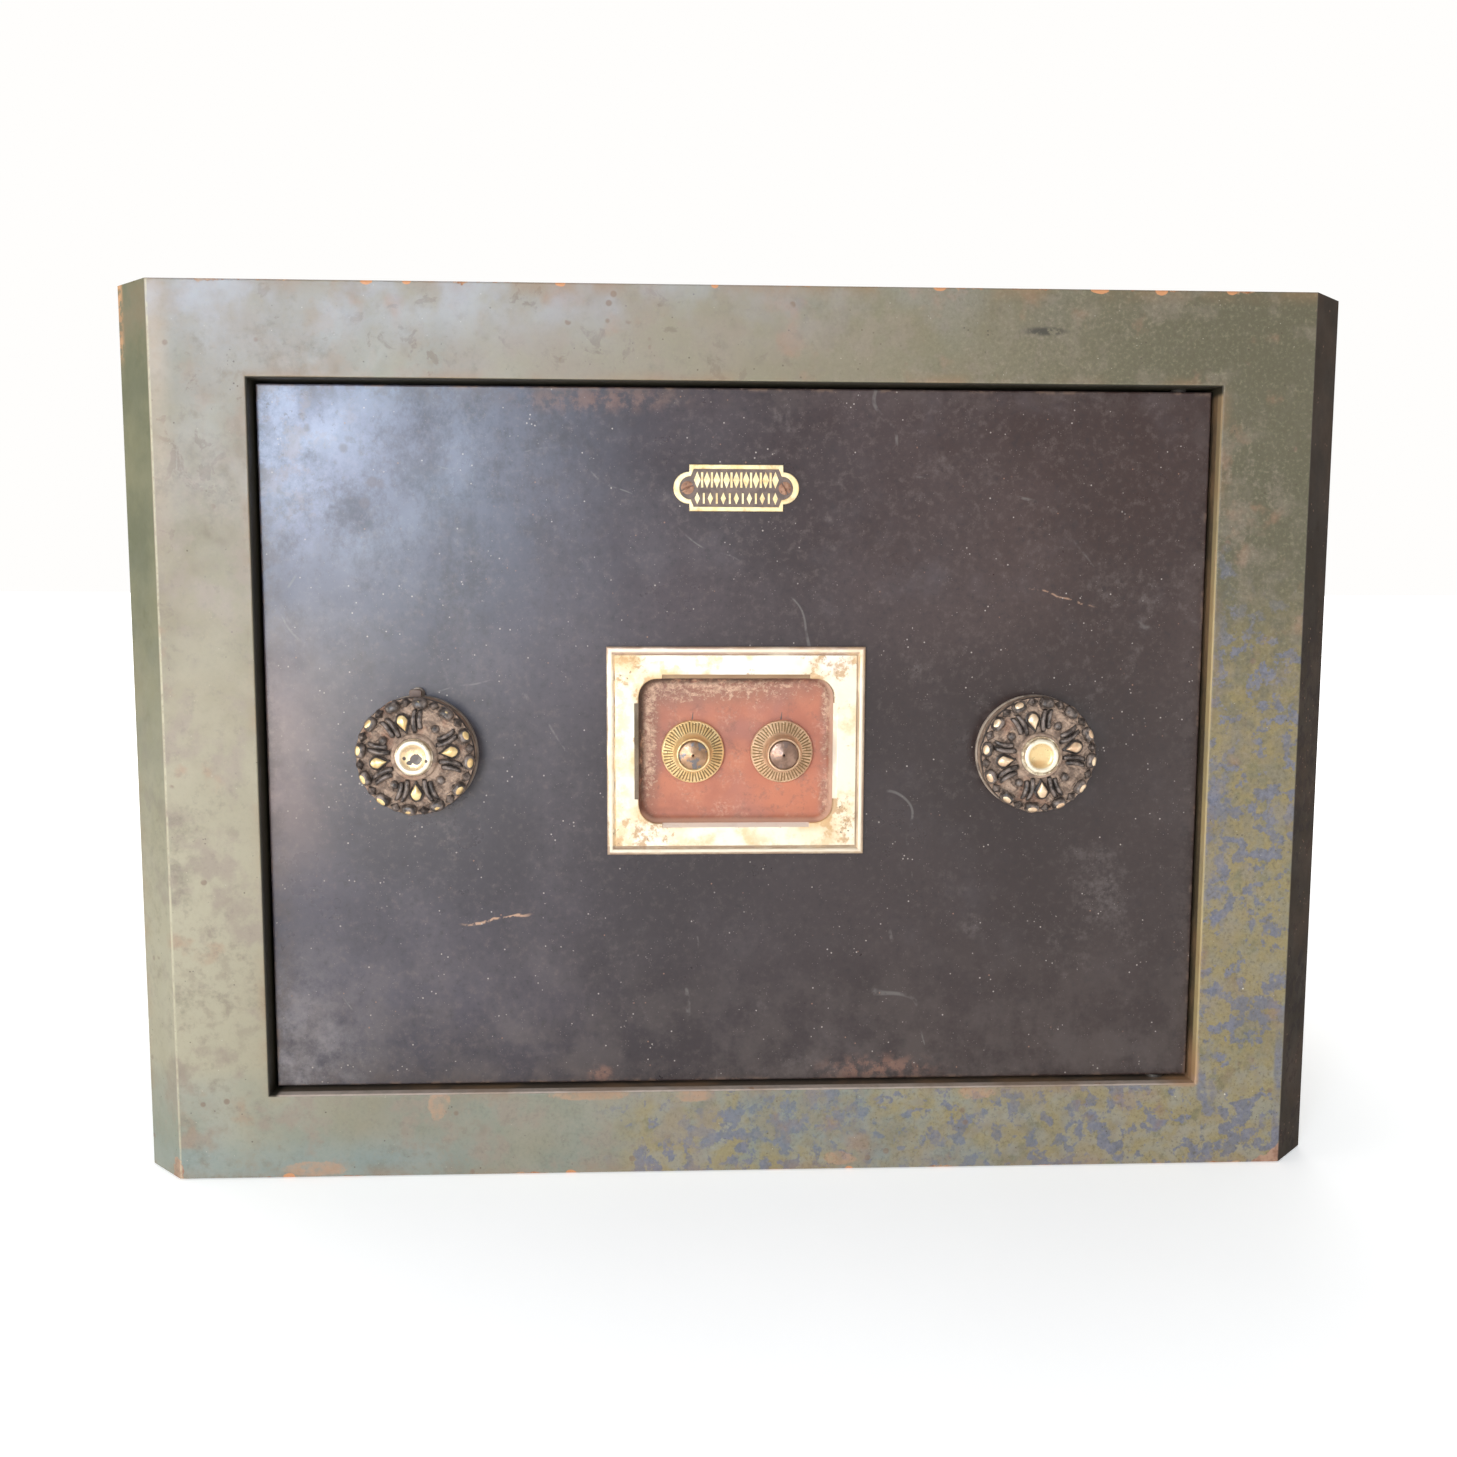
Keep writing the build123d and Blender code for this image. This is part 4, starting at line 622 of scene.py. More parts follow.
def pan_red():
    m = Mat("red_paint")
    inside = m.mul(m.box_gap(*OPENING), -1.0)
    fine = m.noise(520, 6, 0.72)
    mid = m.noise(60, 5, 0.6)
    base = m.mix(m.span(mid, 0.35, 0.68), (0.43, 0.142, 0.084), (0.54, 0.195, 0.112))
    base = m.mix(m.mul(m.blots(0.45, 0.65, 28, 3), 0.6), base, (0.38, 0.16, 0.125))
    base = m.mix(m.mul(m.spot(ESC[0] + 0.035, ESC[2] - 0.022, 0.028, 0.018, 1.4), 0.6), base,
        (0.58, 0.195, 0.1))
    mauve = m.mul((m.x, ESC[0] + 0.005, ESC[0] - 0.05), (m.z, ESC[2] + 0.005, ESC[2] + 0.038))
    base = m.mix(m.mul(mauve, 0.55), base, (0.315, 0.155, 0.115))
    # scuffed through to pale metal round the rim, most at the top and left
    top = m.mul((m.z, ESC[2] + 0.014, ESC[2] + 0.036), (m.x, ESC[0] + 0.055, ESC[0] - 0.01, 0.6,
        1.0))
    left = m.mul((m.x, ESC[0] - 0.036, ESC[0] - 0.046), (m.z, ESC[2] - 0.04, ESC[2] - 0.005, 0.5,
        1.0))
    right = m.mul((m.x, ESC[0] + 0.0415, ESC[0] + 0.0495), (m.noise(70, 3), 0.35, 0.6, 0.3, 0.95))
    low_side = m.mul((m.z, ESC[2] - 0.031, ESC[2] - 0.036), 0.35)
    amount = m.most(top, left, right, low_side)
    streaks = m.noise(290, 6, 0.8, at=m.stretched((1.0, 1.0, 1.25)), warp=0.5)
    level = m.add(m.mul(amount, 0.285), streaks)
    scuff = m.span(level, 0.69, 0.8)
    m.colour = m.mix(m.mul((amount, 0.1, 0.9), 0.6), base, (0.25, 0.13, 0.092))
    pale = m.mix(m.span(fine, 0.35, 0.6), (0.42, 0.235, 0.15), (0.7, 0.455, 0.31))
    m.coat(pale, scuff, 0.9)
    stray = m.mul(m.blots(0.655, 0.71, 300, 5, 0.7), (m.z, ESC[2] - 0.01, ESC[2] + 0.03))
    m.coat((0.7, 0.45, 0.34), stray, 0.6)
    scar = m.mul(m.blots(0.5, 0.64, 95, 6, 0.78, warp=0.3), (fine, 0.34, 0.62))
    m.coat((0.27, 0.115, 0.082), scar, 0.8)
    dusty = m.mul(m.blots(0.5, 0.66, 48, 5, 0.7), (fine, 0.4, 0.66))
    m.coat((0.62, 0.33, 0.22), dusty, 0.7)
    # painted shadow on the walls, darkest at the upper left
    wall = m.span(inside, 0.005, 0.0005)
    wall_shadow = m.mul(wall, m.blots(0.28, 0.5, 150, 5, 0.7), m.most(top, left, 0.12))
    m.coat((0.05, 0.032, 0.025), wall_shadow, 0.95)
    lit_wall = m.mul((inside, 0.0022, 0.0004), m.most((m.x, ESC[0] + 0.04, ESC[0] + 0.05),
        (m.z, ESC[2] - 0.03, ESC[2] - 0.036)))
    m.coat((0.66, 0.43, 0.32), lit_wall, 0.8)
    band = m.mul((m.off(m.z, ESC[2] - 0.0325), 0.0022, 0.0), m.blots(0.4, 0.62, 90, 4), 0.22)
    m.coat((0.24, 0.085, 0.06), band)
    m.done(m.span(mid, 0.3, 0.7, 0.42, 0.62), m.add(m.mul(fine, 0.5), m.mul(scuff, 0.4)), 0.0003,
        0.6)


def brass(name, light, dark, patina, tarnish):
    m = Mat(name, metal=0.6)
    mid = m.noise(130, 5, 0.65)
    fine = m.noise(700, 5, 0.7)
    mark = m.attribute("mark")
    m.colour = m.mix(m.span(mid, 0.36, 0.66), light, dark)
    stain = m.mul(m.blots(0.5 - tarnish * 0.12, 0.66, 95, 5, 0.7), 0.8)
    m.coat(patina, stain)
    m.coat((0.25, 0.155, 0.062), (m.mul(mark, (fine, 0.2, 0.6, 0.8, 1.0)), 0.15, 0.75))
    pits = m.span(fine, 0.66, 0.72)
    m.coat((0.1, 0.07, 0.03), pits, 0.7)
    m.set("Metallic", m.mul(m.flip(m.add(m.mul(stain, 0.5), m.mul(mark, 0.4), clamp=True)), 0.65))
    m.done(m.add(m.span(mid, 0.3, 0.7, 0.36, 0.5), m.mul(stain, 0.18), clamp=True), fine, 0.00012,
        0.5)


def button_copper(name, base, spots, amount):
    m = Mat(name, metal=0.7)
    mid = m.noise(170, 5, 0.65, warp=0.4)
    fine = m.noise(900, 4, 0.7)
    m.colour = m.mix(m.blots(0.35, 0.65, 260, 4), base, scaled(base, 0.62))
    film = m.span(mid, 0.56 - amount, 0.62 - amount)
    m.coat(spots, film)
    m.coat((0.05, 0.04, 0.04), (m.attribute("mark"), 0.3, 0.7))
    m.set("Metallic", m.flip(m.mul(film, 0.4)))
    m.done(m.span(fine, 0.3, 0.7, 0.3, 0.48), fine, 0.0001, 0.6)


def rosette_iron(name, gilt_light, gilt_dark, seed):
    m = Mat(name)
    shift = m.stretched((1, 1, 1), (seed, seed, 0))
    fine = m.noise(620, 5, 0.7, at=shift)
    mid = m.noise(210, 5, 0.65, at=shift)
    gilt, high = m.attribute("gilt"), m.attribute("high")
    dirt = m.mix(m.span(mid, 0.36, 0.64), (0.17, 0.114, 0.083), (0.45, 0.312, 0.225))
    dirt = m.mix(m.mul(m.blots(0.54, 0.68, 90, 4, at=shift), 0.5), dirt, (0.34, 0.175, 0.11))
    iron = m.mix(m.span(fine, 0.36, 0.66), (0.026, 0.019, 0.017), (0.088, 0.066, 0.054))
    cover = m.span(m.add(high, m.mul(m.sub(mid, 0.5), 0.9)), 0.3, 0.46)
    m.colour = m.mix(cover, dirt, iron)
    # painted shade: darkened in the creases round the ornament, by ambient occlusion
    crease_shadow = m.node("ShaderNodeAmbientOcclusion", samples=6)
    m.tune(crease_shadow, Distance=0.0035)
    m.coat((0.018, 0.013, 0.011), (crease_shadow.outputs["AO"], 0.8, 0.34))
    # partly wear, partly painted glints: lighter, pinkish tops of beads and ridges
    worn = m.mul((high, 0.8, 1.0), (mid, 0.42, 0.6), 0.6)
    m.coat((0.34, 0.265, 0.225), worn)
    leaf = m.span(m.add(gilt, m.mul(m.sub(fine, 0.5), 0.55)), 0.46, 0.56)
    metal = m.mix(m.span(mid, 0.38, 0.62), gilt_light, gilt_dark)
    m.coat(metal, leaf)
    m.set("Metallic", m.mul(leaf, 0.5))
    rough = m.sub(m.sub(0.82, m.mul(cover, 0.52)), m.mul(leaf, 0.02))
    m.done(rough, m.add(m.mul(fine, 0.7), m.mul(mid, 0.5)), 0.0003, 0.7)


def cap_metal(name, place, ring, dish, rot):
    """The bright ring and dish of a rosette; rot is how much dark corrosion its dish has."""
    m = Mat(name, metal=0.55)
    far = m.ring_gap(place)
    fine = m.noise(500, 5, 0.7)
    mid = m.noise(230, 5, 0.65)
    m.colour = m.mix(m.span(far, 0.007, 0.0061), ring, dish)
    m.coat(scaled(dish, 0.62), (mid, 0.52, 0.7), 0.6)
    edge_line = m.span(far, 0.0084, 0.0092)
    m.coat((0.36, 0.23, 0.12), edge_line, (mid, 0.38, 0.55), 0.8)
    if rot:
        patch = m.spot(place[0] + 0.0012, place[2] - 0.0008, 0.003, 0.0027, 0.7)
        patch = m.most(patch, m.spot(place[0] - 0.002, place[2] - 0.0027, 0.0016, 0.0012, 0.7),
            m.spot(place[0] - 0.0046, place[2] - 0.0004, 0.0009, 0.0009, 0.7),
            m.spot(place[0] + 0.0066, place[2] - 0.0017, 0.0009, 0.0009, 0.7))
        bite = m.span(m.add(patch, m.mul(m.sub(m.noise(520, 4), 0.5), 1.5)), 0.4, 0.52)
        bite = m.mul(bite, (patch, 0.01, 0.1))
        smear = m.mul(m.spot(place[0] - 0.0012, place[2] + 0.0036, 0.0042, 0.0024, 1.0),
            (mid, 0.4, 0.56))
        m.coat((0.47, 0.32, 0.2), smear, 0.8)
        m.coat((0.085, 0.065, 0.055), bite)
        m.set("Metallic", m.mul(m.flip(bite), 0.55))
    else:
        warm = m.spot(place[0] - 0.001, place[2] - 0.004, 0.0035, 0.0018, 1.2)
        m.coat((0.62, 0.33, 0.12), warm, 0.6)
    m.done(m.span(fine, 0.3, 0.7, 0.26, 0.42), fine, 0.0001, 0.5)


def ring_iron():
    """The flat iron rings behind the rosettes: dark paint with a bright rubbed edge."""
    m = Mat("ring_iron")
    mid = m.noise(190, 5, 0.65)
    m.colour = m.mix(m.span(mid, 0.36, 0.66), (0.085, 0.064, 0.054), (0.2, 0.15, 0.12))
    far = m.least(m.ring_gap(KEY), m.ring_gap(KNOB))
    rub = m.mul((far, 0.0298, 0.0305), m.blots(0.34, 0.54, 120, 4))
    left = m.span(m.x, KEY[0] + 0.012, KEY[0] - 0.004)
    right = m.mul((m.x, 0.0, 0.01), (m.x, KNOB[0] + 0.006, KNOB[0] - 0.01))
    m.coat((0.38, 0.3, 0.235), m.mul(rub, m.most(left, right, 0.45)))
    m.done(m.span(mid, 0.3, 0.7, 0.44, 0.6), mid, 0.0002, 0.6)


def plate_field():
    m = Mat("plate_field")
    mid = m.noise(160, 5, 0.65)
    m.colour = m.mix(m.span(mid, 0.35, 0.68), (0.11, 0.075, 0.062), (0.205, 0.145, 0.118))
    m.done(m.span(mid, 0.3, 0.7, 0.42, 0.62), m.noise(600, 4), 0.00015, 0.6)


def screw_rust():
    m = Mat("rusty_screw", metal=0.25)
    mid = m.noise(330, 6, 0.7)
    m.colour = m.mix(m.span(mid, 0.36, 0.66), (0.26, 0.125, 0.075), (0.42, 0.235, 0.15))
    m.coat((0.08, 0.05, 0.04), m.blots(0.58, 0.66, 800, 4, 0.7))
    m.done(m.span(mid, 0.3, 0.7, 0.55, 0.75), mid, 0.0003, 0.8)


frame_paint()
door_paint()
plain_paint("casing_paint", (0.105, 0.108, 0.088), (0.06, 0.058, 0.048), 0.62, 40)
plain_paint("lining_paint", (0.4, 0.37, 0.29), (0.3, 0.27, 0.21), 0.66, 35)
steel("bare_steel", (0.42, 0.41, 0.39), (0.27, 0.25, 0.23), 0.36)
steel("dark_steel", (0.17, 0.16, 0.15), (0.1, 0.09, 0.08), 0.45, rust=0.5)
mineral()
escutcheon_metal()
pan_red()
brass("brass", (0.96, 0.74, 0.4), (0.85, 0.57, 0.26), (0.55, 0.35, 0.15), 0.25)
brass("dull_brass", (0.84, 0.58, 0.37), (0.66, 0.43, 0.26), (0.45, 0.28, 0.17), 0.8)
brass("plate_brass", (0.98, 0.82, 0.5), (0.9, 0.66, 0.32), (0.62, 0.38, 0.17), 0.25)
button_copper("copper_button", (0.5, 0.3, 0.18), (0.2, 0.18, 0.18), 0.03)
button_copper("brown_button", (0.36, 0.225, 0.165), (0.24, 0.16, 0.13), 0.04)
rosette_iron("black_iron", (0.93, 0.72, 0.36), (0.76, 0.5, 0.22), 0.0)
rosette_iron("pale_iron", (0.9, 0.69, 0.46), (0.72, 0.47, 0.29), 3.0)
ring_iron()
plain_paint("pin_shade_black", (0.03, 0.024, 0.02), (0.016, 0.012, 0.01), 0.75, 120)
plain_paint("tab_iron", (0.165, 0.108, 0.085), (0.115, 0.078, 0.064), 0.55, 160)
plate_field()
screw_rust()
cap_metal("key_cap", KEY, (0.92, 0.8, 0.62), (0.84, 0.62, 0.35), True)
cap_metal("knob_cap", KNOB, (0.93, 0.83, 0.64), (0.8, 0.58, 0.29), False)

SLOT_OF = {row["node"]: row["material_slot"] for row in frame["record"]["subparts"]}


def dress(obj, *names):
    picks = [poly.material_index for poly in obj.data.polygons]
    obj.data.materials.clear()
    for name in names:
        obj.data.materials.append(MATS[name])
    if len(names) > 1:
        obj.data.polygons.foreach_set("material_index", picks)


for node, obj in frame["nodes"].items():
    dress(obj, SLOT_OF[node])
for node in ("keyhole_ring", "knob_base_ring"):
    dress(frame["nodes"][node], "ring_iron")
for node in ("pivot_washer", "back_plate_screws"):
    dress(frame["nodes"][node], "dark_steel")
# the pivot pins in the door gap are near black: painted shade for the gap
dress(frame["nodes"]["pivot_pins"], "pin_shade_black")


# ---- mesh helpers ---------------------------------------------------------------------
def added(name, data):
    """A new object, linked to the scene."""
    obj = bpy.data.objects.new(name, data)
    bpy.context.scene.collection.objects.link(obj)
    return obj


def piece(name, mesh, body, mats, replaces=(), smooth=30.0):
    """A piece on a body, in place of CAD nodes if given, smooth over edges under an angle."""
    obj = added(name, mesh)
    for poly in mesh.polygons:
        poly.use_smooth = smooth > 0
    if smooth > 0:
        mesh.set_sharp_from_angle(angle=math.radians(smooth))
    dress(obj, *mats)
    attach(obj, body)
    if replaces:
        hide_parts(*replaces)
    return obj


def smooth_all(obj):
    for poly in obj.data.polygons:
        poly.use_smooth = True


def apply_all(obj):
    """Applies every modifier of a piece, so it's a plain mesh."""
    bpy.context.view_layer.update()
    graph = bpy.context.evaluated_depsgraph_get()
    mesh = bpy.data.meshes.new_from_object(obj.evaluated_get(graph))
    obj.modifiers.clear()
    obj.data = mesh


def round_edges(obj, width, angle, sharp):
    """Bevels the edges sharper than angle, and shades smoothly across those under sharp."""
    bevel = obj.modifiers.new("bevel", "BEVEL")
    bevel.width, bevel.segments = width, 2
    bevel.limit_method, bevel.angle_limit = "ANGLE", math.radians(angle)
    apply_all(obj)
    smooth_all(obj)
    obj.data.set_sharp_from_angle(angle=math.radians(sharp))
    obj.modifiers.new("normals", "WEIGHTED_NORMAL").keep_sharp = True
    apply_all(obj)


def made_mesh(name, bm):
    mesh = bpy.data.meshes.new(name)
    bm.to_mesh(mesh)
    bm.free()
    return mesh


def softened(node, body, mat, width):
    """A copy of a CAD node whose sharp edges have real rounding."""
    bm = bmesh.new()
    bm.from_mesh(frame["nodes"][node].data)
    bmesh.ops.remove_doubles(bm, verts=bm.verts, dist=2e-6)
    bmesh.ops.dissolve_limit(bm, angle_limit=math.radians(1.0), verts=bm.verts, edges=bm.edges)
    mesh = made_mesh(node + "_soft", bm)
    round_edges(piece(node + "_shape", mesh, body, [mat], (node,), smooth=0), width, 30.0, 28.0)


def grid_mesh(name, rings, attributes=None):
    """A mesh from rings of as many points each, innermost first and going anticlockwise, with
    its middle closed. Attributes hold one number for each point."""
    rings = np.asarray(rings, dtype=float)
    rows, count = rings.shape[:2]
    verts = rings.reshape(-1, 3)
    faces = []
    for i in range(rows - 1):
        for j in range(count):
            k = (j + 1) % count
            faces.append((i * count + j, (i + 1) * count + j, (i + 1) * count + k, i * count + k))
    faces += [(len(verts), j, (j + 1) % count) for j in range(count)]
    mesh = bpy.data.meshes.new(name)
    mesh.from_pydata(np.vstack([verts, rings[0].mean(axis=0)]).tolist(), [], faces)
    for key, rows in (attributes or {}).items():
        values = np.asarray(rows, dtype=float).reshape(-1)
        values = np.append(values, values[:count].mean()).astype(np.float32)
        mesh.attributes.new(key, "FLOAT", "POINT").data.foreach_set("value", values)
    mesh.update()
    return mesh


def on_front(place, y, u, v, h):
    """Millimetres right, up and towards the viewer from a place, in the frame's metres."""
    ways = np.broadcast_arrays(place[0] + u * MM, y - h * MM, place[2] + v * MM)
    return np.stack(ways, axis=-1)


def round_angles(count):
    return np.arange(count) / count * 2 * math.pi


def circle(place, y, r, angle, h):
    return on_front(place, y, r * np.cos(angle), r * np.sin(angle), h)


def turned(name, place, y, profile, body, mats, replaces=(), count=96, smooth=30.0, mark=None):
    """A turned part from a profile of radius and height, marked where mark(radius) says."""
    angle = round_angles(count)
    rings = [circle(place, y, r, angle, h) for r, h in profile]
    marks = {"mark": [[mark(r) if mark else 0.0] * count for r, _ in profile]}
    return piece(name, grid_mesh(name, rings, attributes=marks), body, mats, replaces, smooth)


# ---- rosettes -------------------------------------------------------------------------
DROP_R, STUD_R, BEAD_R = 18.2, 18.0, 27.9  # distance of the ornaments from the middle, in mm


def unit(value):
    return np.clip(value, 0, 1)


def dome(s, t, half_s, half_t, power=2.0, round_off=0.5):
    d = np.abs(s / half_s) ** power + np.abs(t / half_t) ** power
    return np.where(d < 1, np.maximum(1 - d, 0) ** round_off, 0.0)


def local(u, v, degrees, radius):
    """Coordinates along and across a spoke, from a point on it."""
    a = math.radians(degrees)
    return u * math.cos(a) + v * math.sin(a) - radius, -u * math.sin(a) + v * math.cos(a)


def rosette_relief(u, v, drops, beads, worn_beads, rnd):
    """Height in mm over the CAD face, with how gilt and how raised each point is."""
    r = np.hypot(u, v)
    ground = -3.0 - 1.2 * unit((r - 20) / 11) ** 2 + 0.5 * unit(1 - (r - 11) / 5)
    high = np.zeros_like(r)
    gilt = np.zeros_like(r)
    h = ground.copy()

    def raise_to(level, mask, lift):
        nonlocal h, high
        over = (level > h) & (mask > 0)
        h = np.where(over, level, h)
        high = np.where(over, np.maximum(high, unit((level - ground) / lift)), high)
        return over

    for degrees in drops:
        s, t = local(u, v, degrees, DROP_R)
        width = 2.6 * np.clip(1.0 + 0.2 * s, 0.12, 1.2)
        drop = dome(s - 0.2, t, 4.6, width, 2.0)
        ring = dome(s, t, 5.7, width + 1.1, 2.2, 0.4)
        raise_to(ground + 1.25 * ring, ring, 1.2)
        over = raise_to(ground + 1.2 + 2.2 * drop, drop, 1.6)
        gilt = np.where(over, unit(drop * 1.5 - 0.15), gilt)
        for side in (-1, 1):
            for k in range(2):
                sr, tr = local(u, v, degrees + side * (1.5 + 2.0 * k), STUD_R)
                line = side * (4.1 + 2.55 * k + 0.03 * (sr + 4.5) ** 2)
                along = unit(1 - ((sr + 0.2 - 0.3 * k) / (5.9 - 0.8 * k)) ** 2)
                ridge = unit(1 - ((tr - line) / 1.42) ** 2) ** 0.6
                lift = (2.7 - 0.3 * k) * along ** 0.5 * ridge
                raise_to(ground - 0.15 + lift, along * ridge, 1.2)
    for degrees in drops:
        s, t = local(u, v, degrees + 45, STUD_R)
        stud = dome(s, t, 2.25, 2.25)
        raise_to(ground + 2.6 * stud, stud, 1.0)
        fan = dome(s - 5.2, t, 3.0, 2.6, 2.0)
        raise_to(ground + 0.55 * fan, fan, 3.0)
    for k, degrees in enumerate(beads):
        wobble = rnd.uniform(-0.35, 0.35)
        s, t = local(u, v, degrees, BEAD_R)
        box = dome(s, t - wobble, 2.75, 3.95, 3.0, 0.4)
        over = raise_to(-4.1 + 4.7 * box - 0.2 * s, box, 1.4)
        amount = worn_beads[k]
        tip = unit(1.1 - np.hypot((s - 1.1) / 1.7, (t - wobble) / 2.9)) * amount * 2.2
        gilt = np.where(over, unit(tip), gilt)
        s, t = local(u, v, degrees + 15, 28.4)
        point = unit(1 - np.maximum(np.abs(s + t) / 3.5, np.abs(s - t) / 3.5))
        raise_to(-4.6 + 4.6 * point ** 0.8, point, 1.0)
    lumps = np.sin(u * 1.9 + 1.3 * np.sin(v * 1.1)) * np.sin(v * 2.1 + 1.1 * np.sin(u * 0.9))
    h = h + 0.28 * lumps * unit((r - 12) / 4) * unit(1 - high * 2)
    high = np.where(high < 0.1, unit(lumps - 0.55) * 0.9 * unit((r - 13) / 6), high)
    collar = unit(1 - ((r - 10.1) / 1.9) ** 2) ** 0.5
    over = raise_to(-1.6 + 1.5 * collar, collar, 14.0)
    flame = 0.5 + 0.5 * np.sin(np.arctan2(v, u) * 3 + rnd.uniform(0, 6))
    gilt = np.where(over, collar * (0.06 + 0.34 * flame), gilt)
    return h, gilt, high


def rosette(name, place, body, mat, node, drops, worn_beads, seed):
    y, base = front("knob_rosette"), size("knob_rosette", 1) / MM
    count = 480
    angle = round_angles(count)
    first = 23.5  # degrees; the twelve beads stand 30 degrees apart
    beads = [first + 30 * k for k in range(12)]
    lobes = (angle - math.radians(first)) * 12
    outline = 30.35 + 0.3 * np.cos(lobes) + 0.22 * np.cos(lobes * 2)
    outline += 0.1 * np.sin(angle * 7 + 1.0)
    rings, gilts, highs = [], [], []
    for f in np.concatenate([np.linspace(0.02, 0.33, 10), np.linspace(0.34, 1.0, 96)]):
        u, v = outline * f * np.cos(angle), outline * f * np.sin(angle)
        # the same draws for every ring, so the ornament lines up from ring to ring
        h, gilt, high = rosette_relief(u, v, drops, beads, worn_beads, np.random.RandomState(seed))
        rings.append(on_front(place, y, u, v, h))
        gilts.append(gilt)
        highs.append(high)
    rim = unit((h + 4.2) / 3.0)
    # down the side, from the relief's outline to a plain round foot
    side = ((0.25, 0.25), (0.9, 0.45), (2.2, 0.5), (4.2, 0.35), (6.0, 0.2), (base - 0.6, 0.2),
        (base, -0.5))
    for step, (drop, grow) in enumerate(side):
        fade = max(0.0, 1 - step / 4)
        radius = outline * fade + 30.4 * (1 - fade) + grow
        height = h * fade - 5.0 * (1 - fade) - drop if step < 5 else -drop
        rings.append(circle(place, y, radius, angle, height))
        gilts.append(gilt * (0.9 if step < 2 else 0.0) * rim)
        highs.append(np.full(count, 0.75 if step < 2 else 0.1))
    mesh = grid_mesh(name, rings, attributes={"gilt": gilts, "high": highs})
    smooth_all(piece(name, mesh, body, [mat], (node,), smooth=0.0))


rosette("knob_flower", KNOB, "bolt_knob", "pale_iron", "knob_rosette", (13, 102, 189, 275),
    (0.75, 0.15, 0.05, 0.75, 0.8, 0.9, 0.8, 0.75, 0.9, 0.85, 0.9, 0.85), 5)
rosette("cover_flower", KEY, "keyhole_cover", "black_iron", "cover_rosette", (8, 107, 189, 272),
    (0.7, 0.25, 0.25, 0.1, 0.75, 0.9, 0.95, 0.95, 0.35, 0.35, 0.85, 0.9), 9)


def cap(name, place, node, body, mats, grooves):
    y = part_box(node)[1][1]
    rise = size(node, 1) / MM
    profile = [(0.4, rise - 1.7), (2.2, rise - 1.75), (4.4, rise - 1.62), (5.8, rise - 1.3),
        (6.35, rise - 0.85), (6.8, rise - 0.28), (7.25, rise - 0.03), (7.8, rise),
        (8.3, rise - 0.12), (8.9, rise - 0.45), (9.2, rise - 0.95), (9.3, rise - 1.5)]
    if grooves:
        profile += [(9.3, rise - 2.1), (9.6, rise - 2.15), (9.85, rise - 1.75),
            (10.15, rise - 1.75), (10.35, rise - 2.1), (10.4, 0.0)]
    else:
        profile += [(9.35, rise - 2.3), (9.7, rise - 2.5), (9.9, 0.0)]
    return turned(name, place, y, profile, body, mats, (node,), 120, 40)


cap("knob_button", KNOB, "knob_cap", "bolt_knob", ["knob_cap"], True)
cap("cover_button", KEY, "cover_cap", "keyhole_cover", ["key_cap"], False)


def cover_lug():
    """The rounded tab by which the keyhole rosette hangs from its pin."""
    y = front("cover_pivot_pin") - 0.3 * MM
    pivot = centre("cover_pivot_pin")[2]
    top = (pivot - ROW) / MM + 2.6
    outline = [(-2.9, 28.0), (2.9, 28.0), (3.0, 29.5)]
    bend = np.linspace(0, math.pi / 2, 6)
    outline += [(1.75 + 1.5 * math.cos(a), top - 1.5 + 1.5 * math.sin(a)) for a in bend]
    outline += [(-1.75 - 1.5 * math.sin(a), top - 1.5 + 1.5 * math.cos(a)) for a in bend]
    outline += [(-3.0, 29.5)]
    points = np.array(outline) + np.array([-0.6, 0.0])
    hub = np.array([-0.6, 30.0])
    rings = []
    for shrink, h in ((0.8, 0.0), (0.93, -0.12), (1.0, -0.6), (1.0, -2.6)):
        u, v = (hub + (points - hub) * shrink).T
        rings.append(on_front(KEY, y, u, v, h))
    mesh = grid_mesh("cover_tab", rings)
    piece("cover_tab", mesh, "keyhole_cover", ["tab_iron"], (), 40)


cover_lug()


